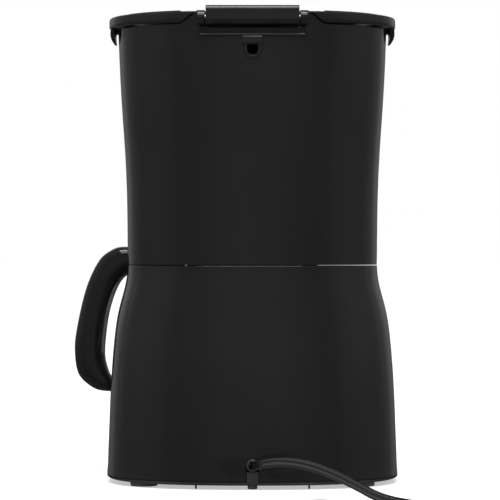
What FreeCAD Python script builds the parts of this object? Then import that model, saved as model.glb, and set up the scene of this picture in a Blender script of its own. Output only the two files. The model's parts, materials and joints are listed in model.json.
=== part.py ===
"""Drip coffee maker with its glass carafe docked on the warming plate.

Built in machine axes and written out in the row frame. Machine axes: X across the machine, +X towards the
carafe handle; Y along it, front at -Y and rear at +Y; Z up from the table. The machine is symmetric about
X = 0 and widest at Y = 0. Units are millimetres.
"""
import FreeCAD
import Part
import math
import os

V = FreeCAD.Vector
X_AXIS, Y_AXIS, Z_AXIS = V(1, 0, 0), V(0, 1, 0), V(0, 0, 1)

# ---- driving dimensions -------------------------------------------------------------------------
WALL = 2.4                      # moulded housing wall
GAP = 0.5                       # reveal between two mouldings
SQUARENESS = 2.5                # exponent of the plan outline, 2 is an ellipse
FOOT_H = 2.6                    # the feet hold the base this far off the table
BASE_TOP = 5.2                  # top of the base plate's rim
DECK_TOP = 34.0                 # top of the deck round the warming plate
SEAM_Z = 146.5                  # joint between lower and upper housings
HEAD_Z = 170.0                  # underside of the brew head
DOOR_TOP = 274.0                # top of the swing-out filter holder
RIM_Z = 304.5                   # top edge of the upper housing, under the lid
LID_LOW, LID_TOP = 305.6, 312.7  # the lid's rim
SPLIT_LOW, SPLIT_HIGH = 43.0, 35.0  # planes where the rear covers meet the front housings
REVEAL = 0.7                    # width of that joint
COLUMN_FRONT = -5.0             # front faces of the column's two wings
CARAFE_Y = -65.0                # the carafe, warming plate and filter share this axis
BAY_R = 70.0                    # round bay in the column behind the carafe
PLATE_R = 61.0

# stations of the housings: (height, half width, rear half depth, front half depth)
LOWER = [(BASE_TOP, 98.4, 85.0, 140.0), (20.6, 97.7, 84.7, 139.6), (DECK_TOP, 97.2, 84.4, 139.0),
         (54.6, 96.4, 83.8, 138.0), (79.0, 95.0, 82.8, 137.0), (100.8, 93.0, 81.4, 135.0),
         (111.7, 91.4, 80.4, 133.0), (122.6, 88.8, 79.2, 130.0), (132.0, 86.3, 78.2, 127.0),
         (SEAM_Z - GAP, 84.5, 77.5, 125.0)]
UPPER = [(SEAM_Z, 84.4, 77.5, 122.0), (HEAD_Z, 84.7, 77.7, 122.3), (194.0, 85.1, 78.0, 122.8),
         (224.6, 86.5, 78.5, 124.0), (245.0, 87.9, 79.0, 125.2), (285.8, 90.2, 80.0, 127.0),
         (RIM_Z, 90.9, 80.3, 127.6)]

# lid hinge at the top of the back
HINGE_Y, HINGE_Z = 77.5, 308.4
BARREL_HALF = 30.6
RECESS_HALF, RECESS_FLOOR, RECESS_FRONT = 34.6, 297.8, 67.8
TOWER_LOW_HALF, TOWER_HIGH_HALF, TOWER_TOP = 47.3, 36.4, 313.2
EAR_IN, EAR_R = 31.3, 4.8
PIN_R, BORE_R = 2.0, 2.05

# vertical hinge of the filter holder, on the front right
DOOR_Y = -54.7
PIVOT = V(75.0, -60.0, 0)
PIVOT_R = 9.6

# mains lead
CORD_R = 3.2
CORD_Z = 16.0
COIL_CENTRE = V(-62.0, 283.0, 0)
COIL_OUT, COIL_IN = 45.4, 24.0

SWITCH_Y = -140.9               # front face of the switch's frame

# row frame: the centre of the footprint of everything but the mains lead
HANDLE_REACH = 124.6
ROW_ORIGIN = V((HANDLE_REACH - LOWER[0][1]) / 2, (LOWER[0][2] - LOWER[0][3]) / 2, 0)


# ---- shape helpers ------------------------------------------------------------------------------
def write(node, *shapes):
    """Moves the solids to the row frame and writes them as one node."""
    solids = [s for shape in shapes for s in shape.Solids]
    for s in solids:
        if not s.isValid() or s.Volume <= 0:
            print("CHECK", node, s.isValid(), s.Volume)
    body = solids[0].copy() if len(solids) == 1 else Part.makeCompound(solids)
    body.translate(-ROW_ORIGIN)
    body.exportStep(f"parts/{node}.step")
    print(f"{node:24s} solids {len(solids):2d}  volume {body.Volume / 1000:9.2f} cm3")


def box(x0, x1, y0, y1, z0, z1):
    return Part.makeBox(x1 - x0, y1 - y0, z1 - z0, V(x0, y0, z0))


def cyl(r, z0, z1, x=0.0, y=0.0):
    return Part.makeCylinder(r, z1 - z0, V(x, y, z0))


def tube_ring(r_out, r_in, z0, z1, x=0.0, y=0.0):
    return cyl(r_out, z0, z1, x, y).cut(cyl(r_in, z0 - 1, z1 + 1, x, y))


def superellipse(half_w, rear, front, z, squareness=SQUARENESS, per_quarter=8):
    """Closed plan outline, one smooth curve through points of a superellipse."""
    points = []
    for i in range(4 * per_quarter):
        t = 2 * math.pi * i / (4 * per_quarter)
        c, s = math.cos(t), math.sin(t)
        depth = rear if s > 0 else front
        points.append(V(math.copysign(abs(c) ** (2 / squareness), c) * half_w,
                        math.copysign(abs(s) ** (2 / squareness), s) * depth, z))
    curve = Part.BSplineCurve()
    curve.interpolate(Points=points, PeriodicFlag=True)
    return Part.Wire(curve.toShape())


def loft(stations, inset=0.0):
    """Solid through the stations' outlines, each drawn in by inset."""
    wires = [superellipse(a - inset, r - inset, f - inset, z) for z, a, r, f in stations]
    return Part.makeLoft(wires, True, False)


def stretched(stations, low, high):
    """The same stations with the first and last moved to low and high, for a cutter that runs through."""
    first, last = stations[0], stations[-1]
    return [(low, *first[1:])] + list(stations) + [(high, *last[1:])]


def column_zone(inset, z0, z1):
    """The space behind the carafe bay: the two wings' front plane, less the round bay."""
    zone = box(-120, 120, COLUMN_FRONT + inset, 120, z0, z1)
    return zone.cut(cyl(BAY_R + inset, z0 - 1, z1 + 1, 0, CARAFE_Y))


def revolve(points, centre_y=0.0):
    """Solid of revolution about the vertical line (0, centre_y): (radius, height) points, closed by lines."""
    pts = [V(r, centre_y, z) for r, z in points]
    edges = [Part.LineSegment(p, q).toShape() for p, q in zip(pts, pts[1:] + pts[:1])]
    face = Part.Face(Part.Wire(edges))
    return face.revolve(V(0, centre_y, 0), Z_AXIS, 360)


def spline_edge(points):
    curve = Part.BSplineCurve()
    curve.interpolate(Points=points)
    return curve.toShape()


def route(points, ratio=0.45):
    """Straight runs joined by tangent arcs, each as large as its two runs allow. Returns wire and radii."""
    edges, radii, start = [], [], points[0]
    for before, here, after in zip(points, points[1:], points[2:]):
        u = (before - here).normalize()
        w = (after - here).normalize()
        turn = math.pi - u.getAngle(w)
        setback = ratio * min((before - here).Length, (after - here).Length)
        radius = setback / math.tan(turn / 2)
        a, b = here + u * setback, here + w * setback
        middle = here + (u + w).normalize() * (radius / math.cos(turn / 2) - radius)
        edges += [Part.LineSegment(start, a).toShape(), Part.Arc(a, middle, b).toShape()]
        radii.append(radius)
        start = b
    edges.append(Part.LineSegment(start, points[-1]).toShape())
    return Part.Wire(edges), radii


def pipe(points, r_out, r_in=0.0, ratio=0.45, label=""):
    """Round tube or rod along a route."""
    path, radii = route(points, ratio)
    along = (points[1] - points[0]).normalize()
    solid = Part.Wire(Part.makeCircle(r_out, points[0], along))
    solid = path.makePipeShell([solid], True, True)
    if r_in:
        bore = Part.Wire(Part.makeCircle(r_in, points[0], along))
        solid = solid.cut(path.makePipeShell([bore], True, True))
    if label:
        expected = math.pi * (r_out ** 2 - r_in ** 2) * path.Length
        print(f"{label}: length {path.Length:.1f}, radii {[round(r, 1) for r in radii]},"
              f" volume {solid.Volume / expected:.3f} of expected")
    return solid


def screw(x, y, z_head, length, up=True, head_r=3.2, shank_r=1.5):
    """Pan-head screw driven upwards (or downwards), with a cross recess in its head."""
    head_h = 1.8
    sign = 1 if up else -1
    low, high = sorted((z_head, z_head + sign * head_h))
    head = cyl(head_r, low, high, x, y)
    s_low, s_high = sorted((z_head + sign * (head_h - 0.2), z_head + sign * length))
    body = head.fuse(cyl(shank_r, s_low, s_high, x, y))
    slot_low, slot_high = sorted((z_head - sign * 0.1, z_head + sign * 0.9))
    cross = box(x - 2, x + 2, y - 0.4, y + 0.4, slot_low, slot_high)
    return body.cut(cross.fuse(cross.rotated(V(x, y, 0), Z_AXIS, 90)))


def split(solid, y):
    """(rear, front) parts, with a fine reveal between them."""
    rear = solid.common(box(-150, 150, y + REVEAL / 2, 150, -10, 400))
    front = solid.common(box(-150, 150, -200, y - REVEAL / 2, -10, 400))
    return rear, front


# ---- housings -----------------------------------------------------------------------------------
def lower_housing():
    """Base skirt, deck and column, hollow and open below; returns (rear cover, front housing)."""
    outer, inner = loft(LOWER), loft(stretched(LOWER, BASE_TOP - 3, SEAM_Z + 3), WALL)
    base_z = box(-150, 150, -200, 150, 0, DECK_TOP)
    hollow_z = box(-150, 150, -200, 150, 0, DECK_TOP - WALL)
    solid = outer.common(base_z.fuse(column_zone(0, DECK_TOP - 1, SEAM_Z + 5)))
    hollow = inner.common(hollow_z.fuse(column_zone(WALL, DECK_TOP - WALL - 1, SEAM_Z + 9)))
    shell = solid.cut(hollow)
    shell = shell.cut(cyl(PLATE_R + 1.6, DECK_TOP - 6, DECK_TOP + 1, 0, CARAFE_Y))
    rear, front = split(shell, SPLIT_LOW)
    notch = box(-4.2, 4.2, 70, 95, 0, CORD_Z)
    notch = notch.fuse(Part.makeCylinder(4.2, 25, V(0, 70, CORD_Z), Y_AXIS))
    rear = rear.cut(notch)
    switch_hole = box(-6.9, 6.9, -150, -125, 10.5, 29.5).fuse(box(-8.8, 8.8, -150, SWITCH_Y + 2, 8.6, 31.4))
    lamp_hole = Part.makeCylinder(3.1, 25, V(18, -150, 20), Y_AXIS)
    return rear, front.cut(switch_hole).cut(lamp_hole)


def base_plate():
    """Bottom cover with a rounded edge, vents, screw holes and the tongue that closes the cord notch."""
    z, a, r, f = LOWER[0]
    low = FOOT_H
    wires = [superellipse(a - d, r - d, f - d, h) for h, d in
             ((low, 4.2), (low + 0.35, 2.2), (low + 1.0, 0.7), (low + 1.7, 0.1), (BASE_TOP - 0.35, 0.0))]
    plate = Part.makeLoft(wires, True, False)
    plate = plate.cut(loft([(low + WALL, a, r, f), (BASE_TOP + 2, a, r, f)], 4.4))
    for i in range(-4, 5):
        plate = plate.cut(box(i * 10 - 2, i * 10 + 2, -30, 10, low - 1, BASE_TOP))
    for x, y in SCREWS:
        plate = plate.cut(cyl(1.8, 0, 8, x, y)).cut(cyl(3.5, 0, low + 1.4, x, y))
        plate = plate.fuse(tube_ring(4.6, 1.8, low + 1.4, BASE_TOP + 4, x, y))
    for side in (-1, 1):
        plate = plate.fuse(box(side * 37 - 0.6, side * 37 + 0.6, 74, 79.5, 0.5, low + 0.6))
    tongue = box(-3.8, 3.8, 81.4, 84.4, low + 1, CORD_Z - 4.4)
    saddle = box(-11.5, 11.5, CLAMP_Y - 3.5, CLAMP_Y + 3.5, low + 1, CORD_Z - 0.1)
    for side in (-1, 1):
        saddle = saddle.cut(cyl(1.5, CORD_Z - 8, CORD_Z, side * 7.6, CLAMP_Y))
    return plate.fuse(tongue).fuse(saddle.cut(lead_inner()))


CLAMP_Y = 66.0


def lead_inner():
    """The lead's sheath inside the machine, from the clamp to the notch in the back."""
    return Part.makeCylinder(CORD_R, 16, V(0, 58, CORD_Z), Y_AXIS)


def cord_clamp():
    """Bar screwed down over the lead, and its two screws."""
    bar = box(-11.5, 11.5, CLAMP_Y - 3.5, CLAMP_Y + 3.5, CORD_Z + 0.1, CORD_Z + 5.4)
    bar = bar.makeFillet(1.5, [e for e in bar.Edges if e.BoundBox.ZMin > CORD_Z + 5 and e.BoundBox.YLength > 5])
    screws = []
    for side in (-1, 1):
        bar = bar.cut(cyl(1.6, CORD_Z, CORD_Z + 6, side * 7.6, CLAMP_Y))
        screws.append(screw(side * 7.6, CLAMP_Y, CORD_Z + 7.2, 13, up=False, head_r=2.9))
    return bar.cut(lead_inner()), screws


SCREWS = [(-58, 58), (58, 58), (-62, -98), (62, -98)]
FEET = [(-72, 48, 9.0), (72, 48, 9.0), (-66, -78, 9.0), (66, -78, 9.0), (0, 76, 3.2)]


def feet():
    """Round rubber feet with a domed edge and a short stem plugged into the base plate's underside."""
    made = []
    for x, y, r in FEET:
        foot = cyl(r, 0, FOOT_H, x, y)
        made.append(foot.makeFillet(0.8, [foot.Edges[i] for i in range(len(foot.Edges))
                                          if foot.Edges[i].BoundBox.ZMax < 0.1]))
    return made


def door_zone(clear, z0, z1):
    """Plan region of the swing-out holder: in front of a plane, plus the round hinge corner.

    The corner outside the hinge is left free all the way round, so that it clears the head as it swings.
    """
    face = DOOR_Y - GAP + clear
    corner = cyl(PIVOT_R + clear, z0, z1, PIVOT.x, PIVOT.y)
    if clear:
        return box(-120, 120, -200, face, z0, z1).fuse(corner)
    inside = box(-120, PIVOT.x, -200, face, z0, z1)
    outside = box(PIVOT.x - 1, 120, -200, PIVOT.y - 8.0, z0, z1)
    return inside.fuse(outside).fuse(corner)


def upper_housing():
    """Column top, brew head and lid rim, hollow and open above; returns (rear cover, head shell)."""
    outer, inner = loft(UPPER), loft(stretched(UPPER, SEAM_Z - 4, RIM_Z + 4), WALL)
    head_z = box(-150, 150, -200, 150, HEAD_Z, RIM_Z + 1)
    hollow_z = box(-150, 150, -200, 150, HEAD_Z + WALL, RIM_Z + 9)
    solid = outer.common(head_z.fuse(column_zone(0, SEAM_Z - 5, HEAD_Z + 1)))
    hollow = inner.common(hollow_z.fuse(column_zone(WALL, SEAM_Z - 9, HEAD_Z + WALL + 1)))
    shell = solid.cut(hollow)
    rear, front = split(shell, SPLIT_HIGH)
    front = front.cut(door_zone(GAP, HEAD_Z - 5, DOOR_TOP + 0.7))
    front = front.cut(cyl(14, HEAD_Z - 5, HEAD_Z + 10, 0, CARAFE_Y))
    return hinge_tower(rear), holder_lugs(front)


def tower_block(clear, y0, z0, z1):
    """Prism with slanted sides that carries the hinge, grown sideways by clear; the lid is notched with it."""
    lean = (TOWER_LOW_HALF - TOWER_HIGH_HALF) / (TOWER_TOP - RIM_Z)
    low, high = (TOWER_LOW_HALF + clear - lean * (z - RIM_Z) for z in (z0, z1))
    corners = [V(-low, y0, z0), V(low, y0, z0), V(high, y0, z1), V(-high, y0, z1)]
    return Part.Face(Part.makePolygon(corners + corners[:1])).extrude(V(0, 95 - y0, 0))


def hinge_tower(rear):
    """Adds the recessed tower that carries the lid's hinge pin, and the hooded overflow slot below it."""
    z, a, r, f = UPPER[-1]
    skin = loft([(RECESS_FLOOR - 6, a - 0.5, r - 0.3, f), (RIM_Z, a, r, f), (TOWER_TOP, a + 0.2, r + 0.1, f)])
    wall_y = RECESS_FRONT - WALL
    foot = skin.common(box(-TOWER_LOW_HALF, TOWER_LOW_HALF, wall_y, 95, RECESS_FLOOR - WALL, RIM_Z))
    inside = loft([(RECESS_FLOOR - 9, a, r, f), (TOWER_TOP + 2, a, r, f)], 0.6)
    rear = rear.fuse(foot.common(inside)).fuse(skin.common(tower_block(0, wall_y, RIM_Z - 0.1, TOWER_TOP)))
    low_recess = box(-RECESS_HALF, RECESS_HALF, RECESS_FRONT, 95, RECESS_FLOOR, HINGE_Z - EAR_R)
    recess = box(-EAR_IN, EAR_IN, RECESS_FRONT, 95, RECESS_FLOOR, TOWER_TOP + 5)
    arm_way = box(-EAR_IN, EAR_IN, 40, RECESS_FRONT + 1, RIM_Z - 1.6, TOWER_TOP + 5)
    rear = rear.cut(recess).cut(low_recess).cut(arm_way)
    for side in (-1, 1):
        x0, x1 = sorted((side * EAR_IN, side * (TOWER_HIGH_HALF - 0.2)))
        ear = box(x0, x1, wall_y + 1, HINGE_Y, HINGE_Z - EAR_R, HINGE_Z + EAR_R)
        rear = rear.fuse(ear.fuse(Part.makeCylinder(EAR_R, x1 - x0, V(x0, HINGE_Y, HINGE_Z), X_AXIS)))
    rear = rear.cut(Part.makeCylinder(BORE_R, 71, V(-35.5, HINGE_Y, HINGE_Z), X_AXIS))
    ledge = box(-RECESS_HALF, RECESS_HALF, 75, 81.4, RECESS_FLOOR - 1.6, RECESS_FLOOR)
    rear = rear.fuse(ledge.makeFillet(0.5, [e for e in ledge.Edges if e.BoundBox.YMin > 81]))
    slot = Part.makeCylinder(3.6, 14, V(0, 71, 287.2), Y_AXIS).fuse(box(-3.6, 3.6, 71, 85, 287.2, 293.0))
    surround = Part.makeCylinder(5.4, 3.7, V(0, 77.2, 287.2), Y_AXIS).fuse(
        box(-5.4, 5.4, 77.2, 80.9, 287.2, 292))
    hood = box(-6.8, 6.8, 77.2, 81.7, 290.8, 296.4)
    hood = hood.makeFillet(1.0, [e for e in hood.Edges if e.BoundBox.YMin > 81])
    hood = hood.cut(box(-4.4, 4.4, 74, 80.4, 287, 294.4))
    return rear.fuse(surround).cut(slot).fuse(hood)


def holder_lugs(front):
    """Adds the two ears that carry the filter holder's hinge pin."""
    low = cyl(7.5, HEAD_Z - 4.0, HEAD_Z - 0.6, PIVOT.x - 1.2, PIVOT.y)
    low = low.fuse(box(58, 79.4, -58, -44, HEAD_Z - 4.0, HEAD_Z - 0.6)).common(loft(
        [(HEAD_Z - 8, *UPPER[1][1:]), (HEAD_Z + 8, *UPPER[1][1:])], 0.4))
    low = low.fuse(box(60, 79, -49, -44, HEAD_Z - 1, HEAD_Z + 1))
    z_high = DOOR_TOP + 0.7
    high = box(58, 90, -72, -44, z_high, z_high + 4).common(loft(
        [(z_high - 5, *UPPER[5][1:]), (z_high + 9, *UPPER[5][1:])], 1.4))
    holes = cyl(BORE_R, HEAD_Z - 9, z_high + 9, PIVOT.x, PIVOT.y)
    return front.fuse(low).fuse(high).cut(holes)


# ---- lid ----------------------------------------------------------------------------------------
LID = (97.0, 82.4, 131.0)       # half width, rear and front half depth of the lid's rim


def lid():
    """Dished lid with a rim that laps over the housing, side finger tabs and the hinge barrel."""
    a, r, f = LID
    grow = ((LID_LOW, 0.9), (LID_LOW + 0.9, 0.15), (309.5, 0.0), (LID_TOP - 0.8, 0.25), (LID_TOP, 1.3))
    rim = Part.makeLoft([superellipse(a - d, r - d, f - d, z, 2.35) for z, d in grow], True, False)
    z0 = LID_TOP - WALL
    under = Part.makeLoft([superellipse(a - 2.6, r - 2.6, f - 2.6, z, 2.35) for z in (LID_LOW - 1, z0)], True)
    made = rim.cut(under)
    cut_y = RECESS_FRONT - WALL - 1.0
    made = made.cut(tower_block(1.1, cut_y, LID_LOW - 2, LID_TOP + 2))
    for side in (-1, 1):
        made = made.fuse(finger_tab(side))
    arm = box(-BARREL_HALF + 0.4, BARREL_HALF - 0.4, cut_y - 8, HINGE_Y, LID_TOP - WALL - 0.6, LID_TOP - 0.1)
    made = made.fuse(arm).fuse(barrel())
    return made.cut(Part.makeCylinder(PIN_R + 0.06, 80, V(-40, HINGE_Y, HINGE_Z), X_AXIS))


def barrel():
    """Hinge barrel: a rounded bar round the pin, a little taller than the lid."""
    low, high, front, back = 303.9, 316.2, HINGE_Y - 6.4, HINGE_Y + 7.0
    bar = box(-BARREL_HALF, BARREL_HALF, front, back, low, high)
    long_edges = [e for e in bar.Edges if e.BoundBox.XLength > 50]
    bar = bar.makeFillet(3.2, long_edges)
    return bar


def finger_tab(side):
    """Half-moon grip under the rim, bulging outwards, for lifting the lid from the side."""
    x, half = LID[0] - 2.2, 17.0
    z0, z1 = LID_LOW - 10.2, LID_LOW + 2.0
    arc = Part.Arc(V(x - 1.6, 0, z0), V(x + 1.2, 0, z0 + 6.0), V(x - 0.6, 0, z1)).toShape()
    back = Part.Arc(V(x - 2.9, 0, z1), V(x - 1.9, 0, z0 + 6.0), V(x - 2.8, 0, z0)).toShape()
    face = Part.Face(Part.Wire([arc, Part.LineSegment(V(x - 0.6, 0, z1), V(x - 2.9, 0, z1)).toShape(), back,
                                Part.LineSegment(V(x - 2.8, 0, z0), V(x - 1.6, 0, z0)).toShape()]))
    tab = face.extrude(V(0, 2 * half, 0)).translated(V(0, -half, 0))
    drop = z1 - z0
    round_r = (half ** 2 + drop ** 2) / (2 * drop)
    moon = Part.makeCylinder(round_r, 20, V(x - 10, 0, z0 + round_r), X_AXIS)
    tab = tab.common(moon)
    return tab if side > 0 else tab.mirror(V(0, 0, 0), X_AXIS)


def lid_panel():
    """Thin crowned panel set on top of the lid, inside a fine groove."""
    a, r, f = (d - 6.5 for d in LID)
    rows = ((LID_TOP + 0.05, 0.0), (LID_TOP + 0.7, 0.2), (LID_TOP + 1.2, 1.6))
    made = Part.makeLoft([superellipse(a - d, r - d, f - d, z, 2.35) for z, d in rows], True, False)
    return made.cut(box(-TOWER_LOW_HALF, TOWER_LOW_HALF, RECESS_FRONT - WALL - 5, 95, LID_LOW, LID_TOP + 5))


# ---- water and heat -----------------------------------------------------------------------------
TANK_FRONT, TANK_LOW, TANK_TOP = 12.0, 154.0, 290.0
OUTLET = V(-28, 46, 0)
RISER = V(34, 6.0, 0)
SPRAY_Z = 281.0


def tank():
    """Open-topped reservoir that fills the back of the upper housing, with an outlet spout."""
    body = loft(UPPER, WALL + 1.0).common(box(-120, 120, TANK_FRONT, 120, TANK_LOW, TANK_TOP))
    hollow = loft(stretched(UPPER, SEAM_Z - 4, RIM_Z + 4), WALL + 3.0).common(
        box(-120, 120, TANK_FRONT + 2, 120, TANK_LOW + 2, TANK_TOP + 9))
    body = body.cut(hollow).fuse(cyl(5, TANK_LOW - 10, TANK_LOW + 1, OUTLET.x, OUTLET.y))
    overflow = Part.makeCylinder(3.8, 20, V(0, 68, 287.2), Y_AXIS).fuse(box(-3.8, 3.8, 68, 88, 287.2, 299))
    return body.cut(cyl(3.5, TANK_LOW - 12, TANK_LOW + 5, OUTLET.x, OUTLET.y)).cut(overflow)


def top_deck():
    """Tray under the lid: a filling window over the reservoir and a seat for the spray head."""
    z0 = 293.0
    body = loft([(z0, *UPPER[-1][1:]), (z0 + 2.2, *UPPER[-1][1:])], WALL + 1.2)
    body = body.cut(box(-50, 50, RECESS_FRONT - WALL - 1, 95, z0 - 2, z0 + 9))
    window = box(-66, 66, 15, 56, z0 - 2, z0 + 9)
    window = window.makeFillet(8, [e for e in window.Edges if e.BoundBox.ZLength > 5])
    lip = box(-68, 68, 13, 58, z0 - 1.5, z0 + 4.2)
    lip = lip.makeFillet(9, [e for e in lip.Edges if e.BoundBox.ZLength > 5])
    body = body.fuse(lip).cut(window)
    for i in range(5):
        r = 14 + 9 * i
        body = body.fuse(tube_ring(r + 0.8, r - 0.8, z0 + 2, z0 + 3.2, 0, CARAFE_Y))
    return body


def spray_head():
    """Shower chamber hung from the deck: a closed pan with rings of drip holes and an inlet barb."""
    pan = cyl(26, SPRAY_Z, SPRAY_Z + 10, 0, CARAFE_Y)
    pan = pan.makeFillet(2.0, [e for e in pan.Edges if e.BoundBox.ZMax < SPRAY_Z + 1])
    pan = pan.cut(cyl(24, SPRAY_Z + 2, SPRAY_Z + 8, 0, CARAFE_Y))
    for count, r in ((6, 9), (12, 17)):
        for i in range(count):
            t = 2 * math.pi * i / count
            pan = pan.cut(cyl(1.1, SPRAY_Z - 1, SPRAY_Z + 3, r * math.cos(t), CARAFE_Y + r * math.sin(t)))
    barb = Part.makeCylinder(2.6, 16, V(12, CARAFE_Y + 22, SPRAY_Z + 5), V(0.25, 0.97, 0))
    return pan.fuse(tube_ring(27.5, 24, SPRAY_Z + 9.9, 293.0, 0, CARAFE_Y)).cut(barb)


def horseshoe(r, thick, z):
    """Torus round the carafe's axis, open at the back."""
    ring = Part.makeTorus(r, thick, V(0, CARAFE_Y, z), Z_AXIS)
    return ring.cut(box(-14, 14, CARAFE_Y, CARAFE_Y + 80, 0, 60))


def heater():
    """Cast aluminium horseshoe under the warming plate, its water pipe ending in two barbs at the back."""
    z = 27.0
    pad = tube_ring(49, 31, z + 1.5, DECK_TOP - 1.2, 0, CARAFE_Y)
    body = pad.cut(box(-14, 14, CARAFE_Y, CARAFE_Y + 80, 0, 60)).fuse(horseshoe(42, 6.0, z))
    y0, joint_y = CARAFE_Y + 34, PIPE_Y - 6.5
    cold = Part.makeCylinder(4.2, 40, V(-PIPE_X, y0, PIPE_Z), Y_AXIS)
    hot = Part.makeCylinder(4.2, joint_y - y0, V(PIPE_X, y0, PIPE_Z), Y_AXIS)
    hot = hot.fuse(Part.makeCylinder(2.8, 9, V(PIPE_X, joint_y - 1, PIPE_Z), Y_AXIS))
    return body.fuse(cold).fuse(hot).common(cyl(200, 0, DECK_TOP - 1.2, 0, 0))


def heater_element():
    """Tubular resistance element inside the horseshoe, with a terminal pin at each end."""
    z = 25.4
    rod = horseshoe(32.5, 2.9, z)
    for side in (-1, 1):
        rod = rod.fuse(Part.makeCylinder(1.3, 6, V(side * 15.5, CARAFE_Y + 29, z), V(-side, 0, 0)))
    return rod


def thermostat():
    """Disc thermostat strapped under the front of the horseshoe, with its strap and two blades."""
    y = CARAFE_Y - 42
    body = cyl(8.5, 13.4, 20.9, 0, y).fuse(cyl(6.5, 11.5, 13.5, 0, y))
    body = body.fuse(box(-17, 17, y - 4, y + 4, 19.9, 20.9))
    for side in (-1, 1):
        body = body.fuse(box(side * 3.5 - 2, side * 3.5 + 2, y - 0.4, y + 0.4, 7.5, 11.6))
    return body


PIPE_X, PIPE_Y, PIPE_Z = 21.0, CARAFE_Y + 74, 24.0


def hoses():
    """Cold hose from the reservoir, and the hot riser up to the spray head, each a silicone tube."""
    cold = pipe([V(-PIPE_X, PIPE_Y - 6, PIPE_Z), V(-PIPE_X, PIPE_Y + 24, PIPE_Z), V(-22, 46, 60),
                 V(OUTLET.x, 46, 100), V(OUTLET.x, OUTLET.y, 142)], 6.4, 4.4)
    hot = pipe([V(PIPE_X, PIPE_Y - 6, PIPE_Z), V(PIPE_X, PIPE_Y + 14, PIPE_Z), V(29, 16, 60),
                V(RISER.x, RISER.y, 100), V(RISER.x, RISER.y, SPRAY_Z + 5),
                V(22, -14, SPRAY_Z + 5), V(16.5, CARAFE_Y + 30, SPRAY_Z + 5)], 4.4, 2.9)
    return cold, hot


def spring_clip(x, y, z, r):
    """Wire hose clip: a flat open ring."""
    ring = tube_ring(r + 1.2, r + 0.05, z, z + 4, x, y)
    return ring.cut(box(x - 1.5, x + 1.5, y + r - 1, y + r + 4, z - 1, z + 6))


# ---- filter holder ------------------------------------------------------------------------------
def filter_holder():
    """Swing-out holder: the head's front panel, a floor, the cup behind it and the hinge barrel."""
    z_top = DOOR_TOP - 0.1
    skin = loft(UPPER).cut(loft(stretched(UPPER, SEAM_Z - 4, RIM_Z + 4), WALL))
    zone = door_zone(0, HEAD_Z, z_top)
    panel = skin.common(zone)
    floor_z = HEAD_Z + WALL
    solid = loft(UPPER)
    floor = solid.common(door_zone(0, HEAD_Z, floor_z))
    barrel_post = solid.common(cyl(PIVOT_R, HEAD_Z, z_top, PIVOT.x, PIVOT.y))
    cup_out = revolve([(0, 173.4), (36, 173.4), (39, 176.4), (60, 264), (60, 268), (0, 268)], CARAFE_Y)
    cup_in = revolve([(0, 175.6), (34.6, 175.6), (37, 178), (57.8, 264.5), (57.8, 272), (0, 272)], CARAFE_Y)
    web = box(-60, 60, -130, CARAFE_Y, 258, 262).common(solid)
    post_web = box(52, 72, -66, -60, floor_z, 262)
    body = panel.fuse(floor).fuse(barrel_post).fuse(cup_out).fuse(web).fuse(post_web)
    body = body.fuse(tube_ring(11, 7.2, HEAD_Z, 175, 0, CARAFE_Y))
    body = body.cut(cup_in).cut(cyl(7.2, HEAD_Z - 2, 178, 0, CARAFE_Y))
    body = body.cut(cyl(BORE_R, HEAD_Z - 5, z_top + 5, PIVOT.x, PIVOT.y))
    grip = cyl(5, 202, 242, -58, -107.4)
    return body.fuse(grip.makeFillet(2.5, [e for e in grip.Edges if e.BoundBox.ZLength < 0.1]))


def filter_basket():
    """Removable cone that holds the paper filter: a rim, ribs down the inside, and the valve seat."""
    outer = revolve([(0, 180), (33.5, 180), (56.4, 266.5), (56.4, 268.2), (58.3, 268.2), (58.3, 270.4),
                     (0, 270.4)], CARAFE_Y)
    inner = revolve([(0, 182), (32.2, 182), (54.8, 267), (54.8, 275), (0, 275)], CARAFE_Y)
    body = outer.cut(inner)
    ribs = []
    for i in range(12):
        rib = box(30, 56, -0.7, 0.7, 182, 262).common(
            revolve([(31, 181), (33, 181), (54.6, 262), (51.6, 262)], 0).fuse(cyl(0.1, 181, 182)))
        ribs.append(rib.rotated(V(0, 0, 0), Z_AXIS, 30 * i).translated(V(0, CARAFE_Y, 0)))
    body = body.multiFuse(ribs)
    seat = tube_ring(6.6, 4.2, 176.2, 180.1, 0, CARAFE_Y)
    return body.fuse(seat).cut(cyl(4.2, 170, 190, 0, CARAFE_Y))


def drip_valve():
    """Plunger of the drip stop, and its silicone seal above the seat."""
    stem = cyl(2.4, 163.2, 185.0, 0, CARAFE_Y)
    tip = cyl(5.4, 161.4, 163.6, 0, CARAFE_Y)
    tip = tip.makeFillet(0.8, [e for e in tip.Edges if e.BoundBox.ZMax < 162])
    cap = cyl(4.0, 183.6, 186.4, 0, CARAFE_Y)
    seal = cyl(7.0, 182.1, 183.5, 0, CARAFE_Y).cut(cyl(2.5, 180, 190, 0, CARAFE_Y))
    return stem.fuse(tip).fuse(cap), seal


def helix_spring(r, wire, z0, z1, turns):
    path = Part.makeHelix((z1 - z0) / turns, z1 - z0, r)
    start = V(r, 0, 0)
    section = Part.Wire(Part.makeCircle(wire, start, V(0, 1, 0.1)))
    coil = Part.Wire(path).makePipeShell([section], True, True)
    return coil.translated(V(0, CARAFE_Y, z0))


# ---- carafe -------------------------------------------------------------------------------------
PLATE_TOP = DECK_TOP + 1.8


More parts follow.
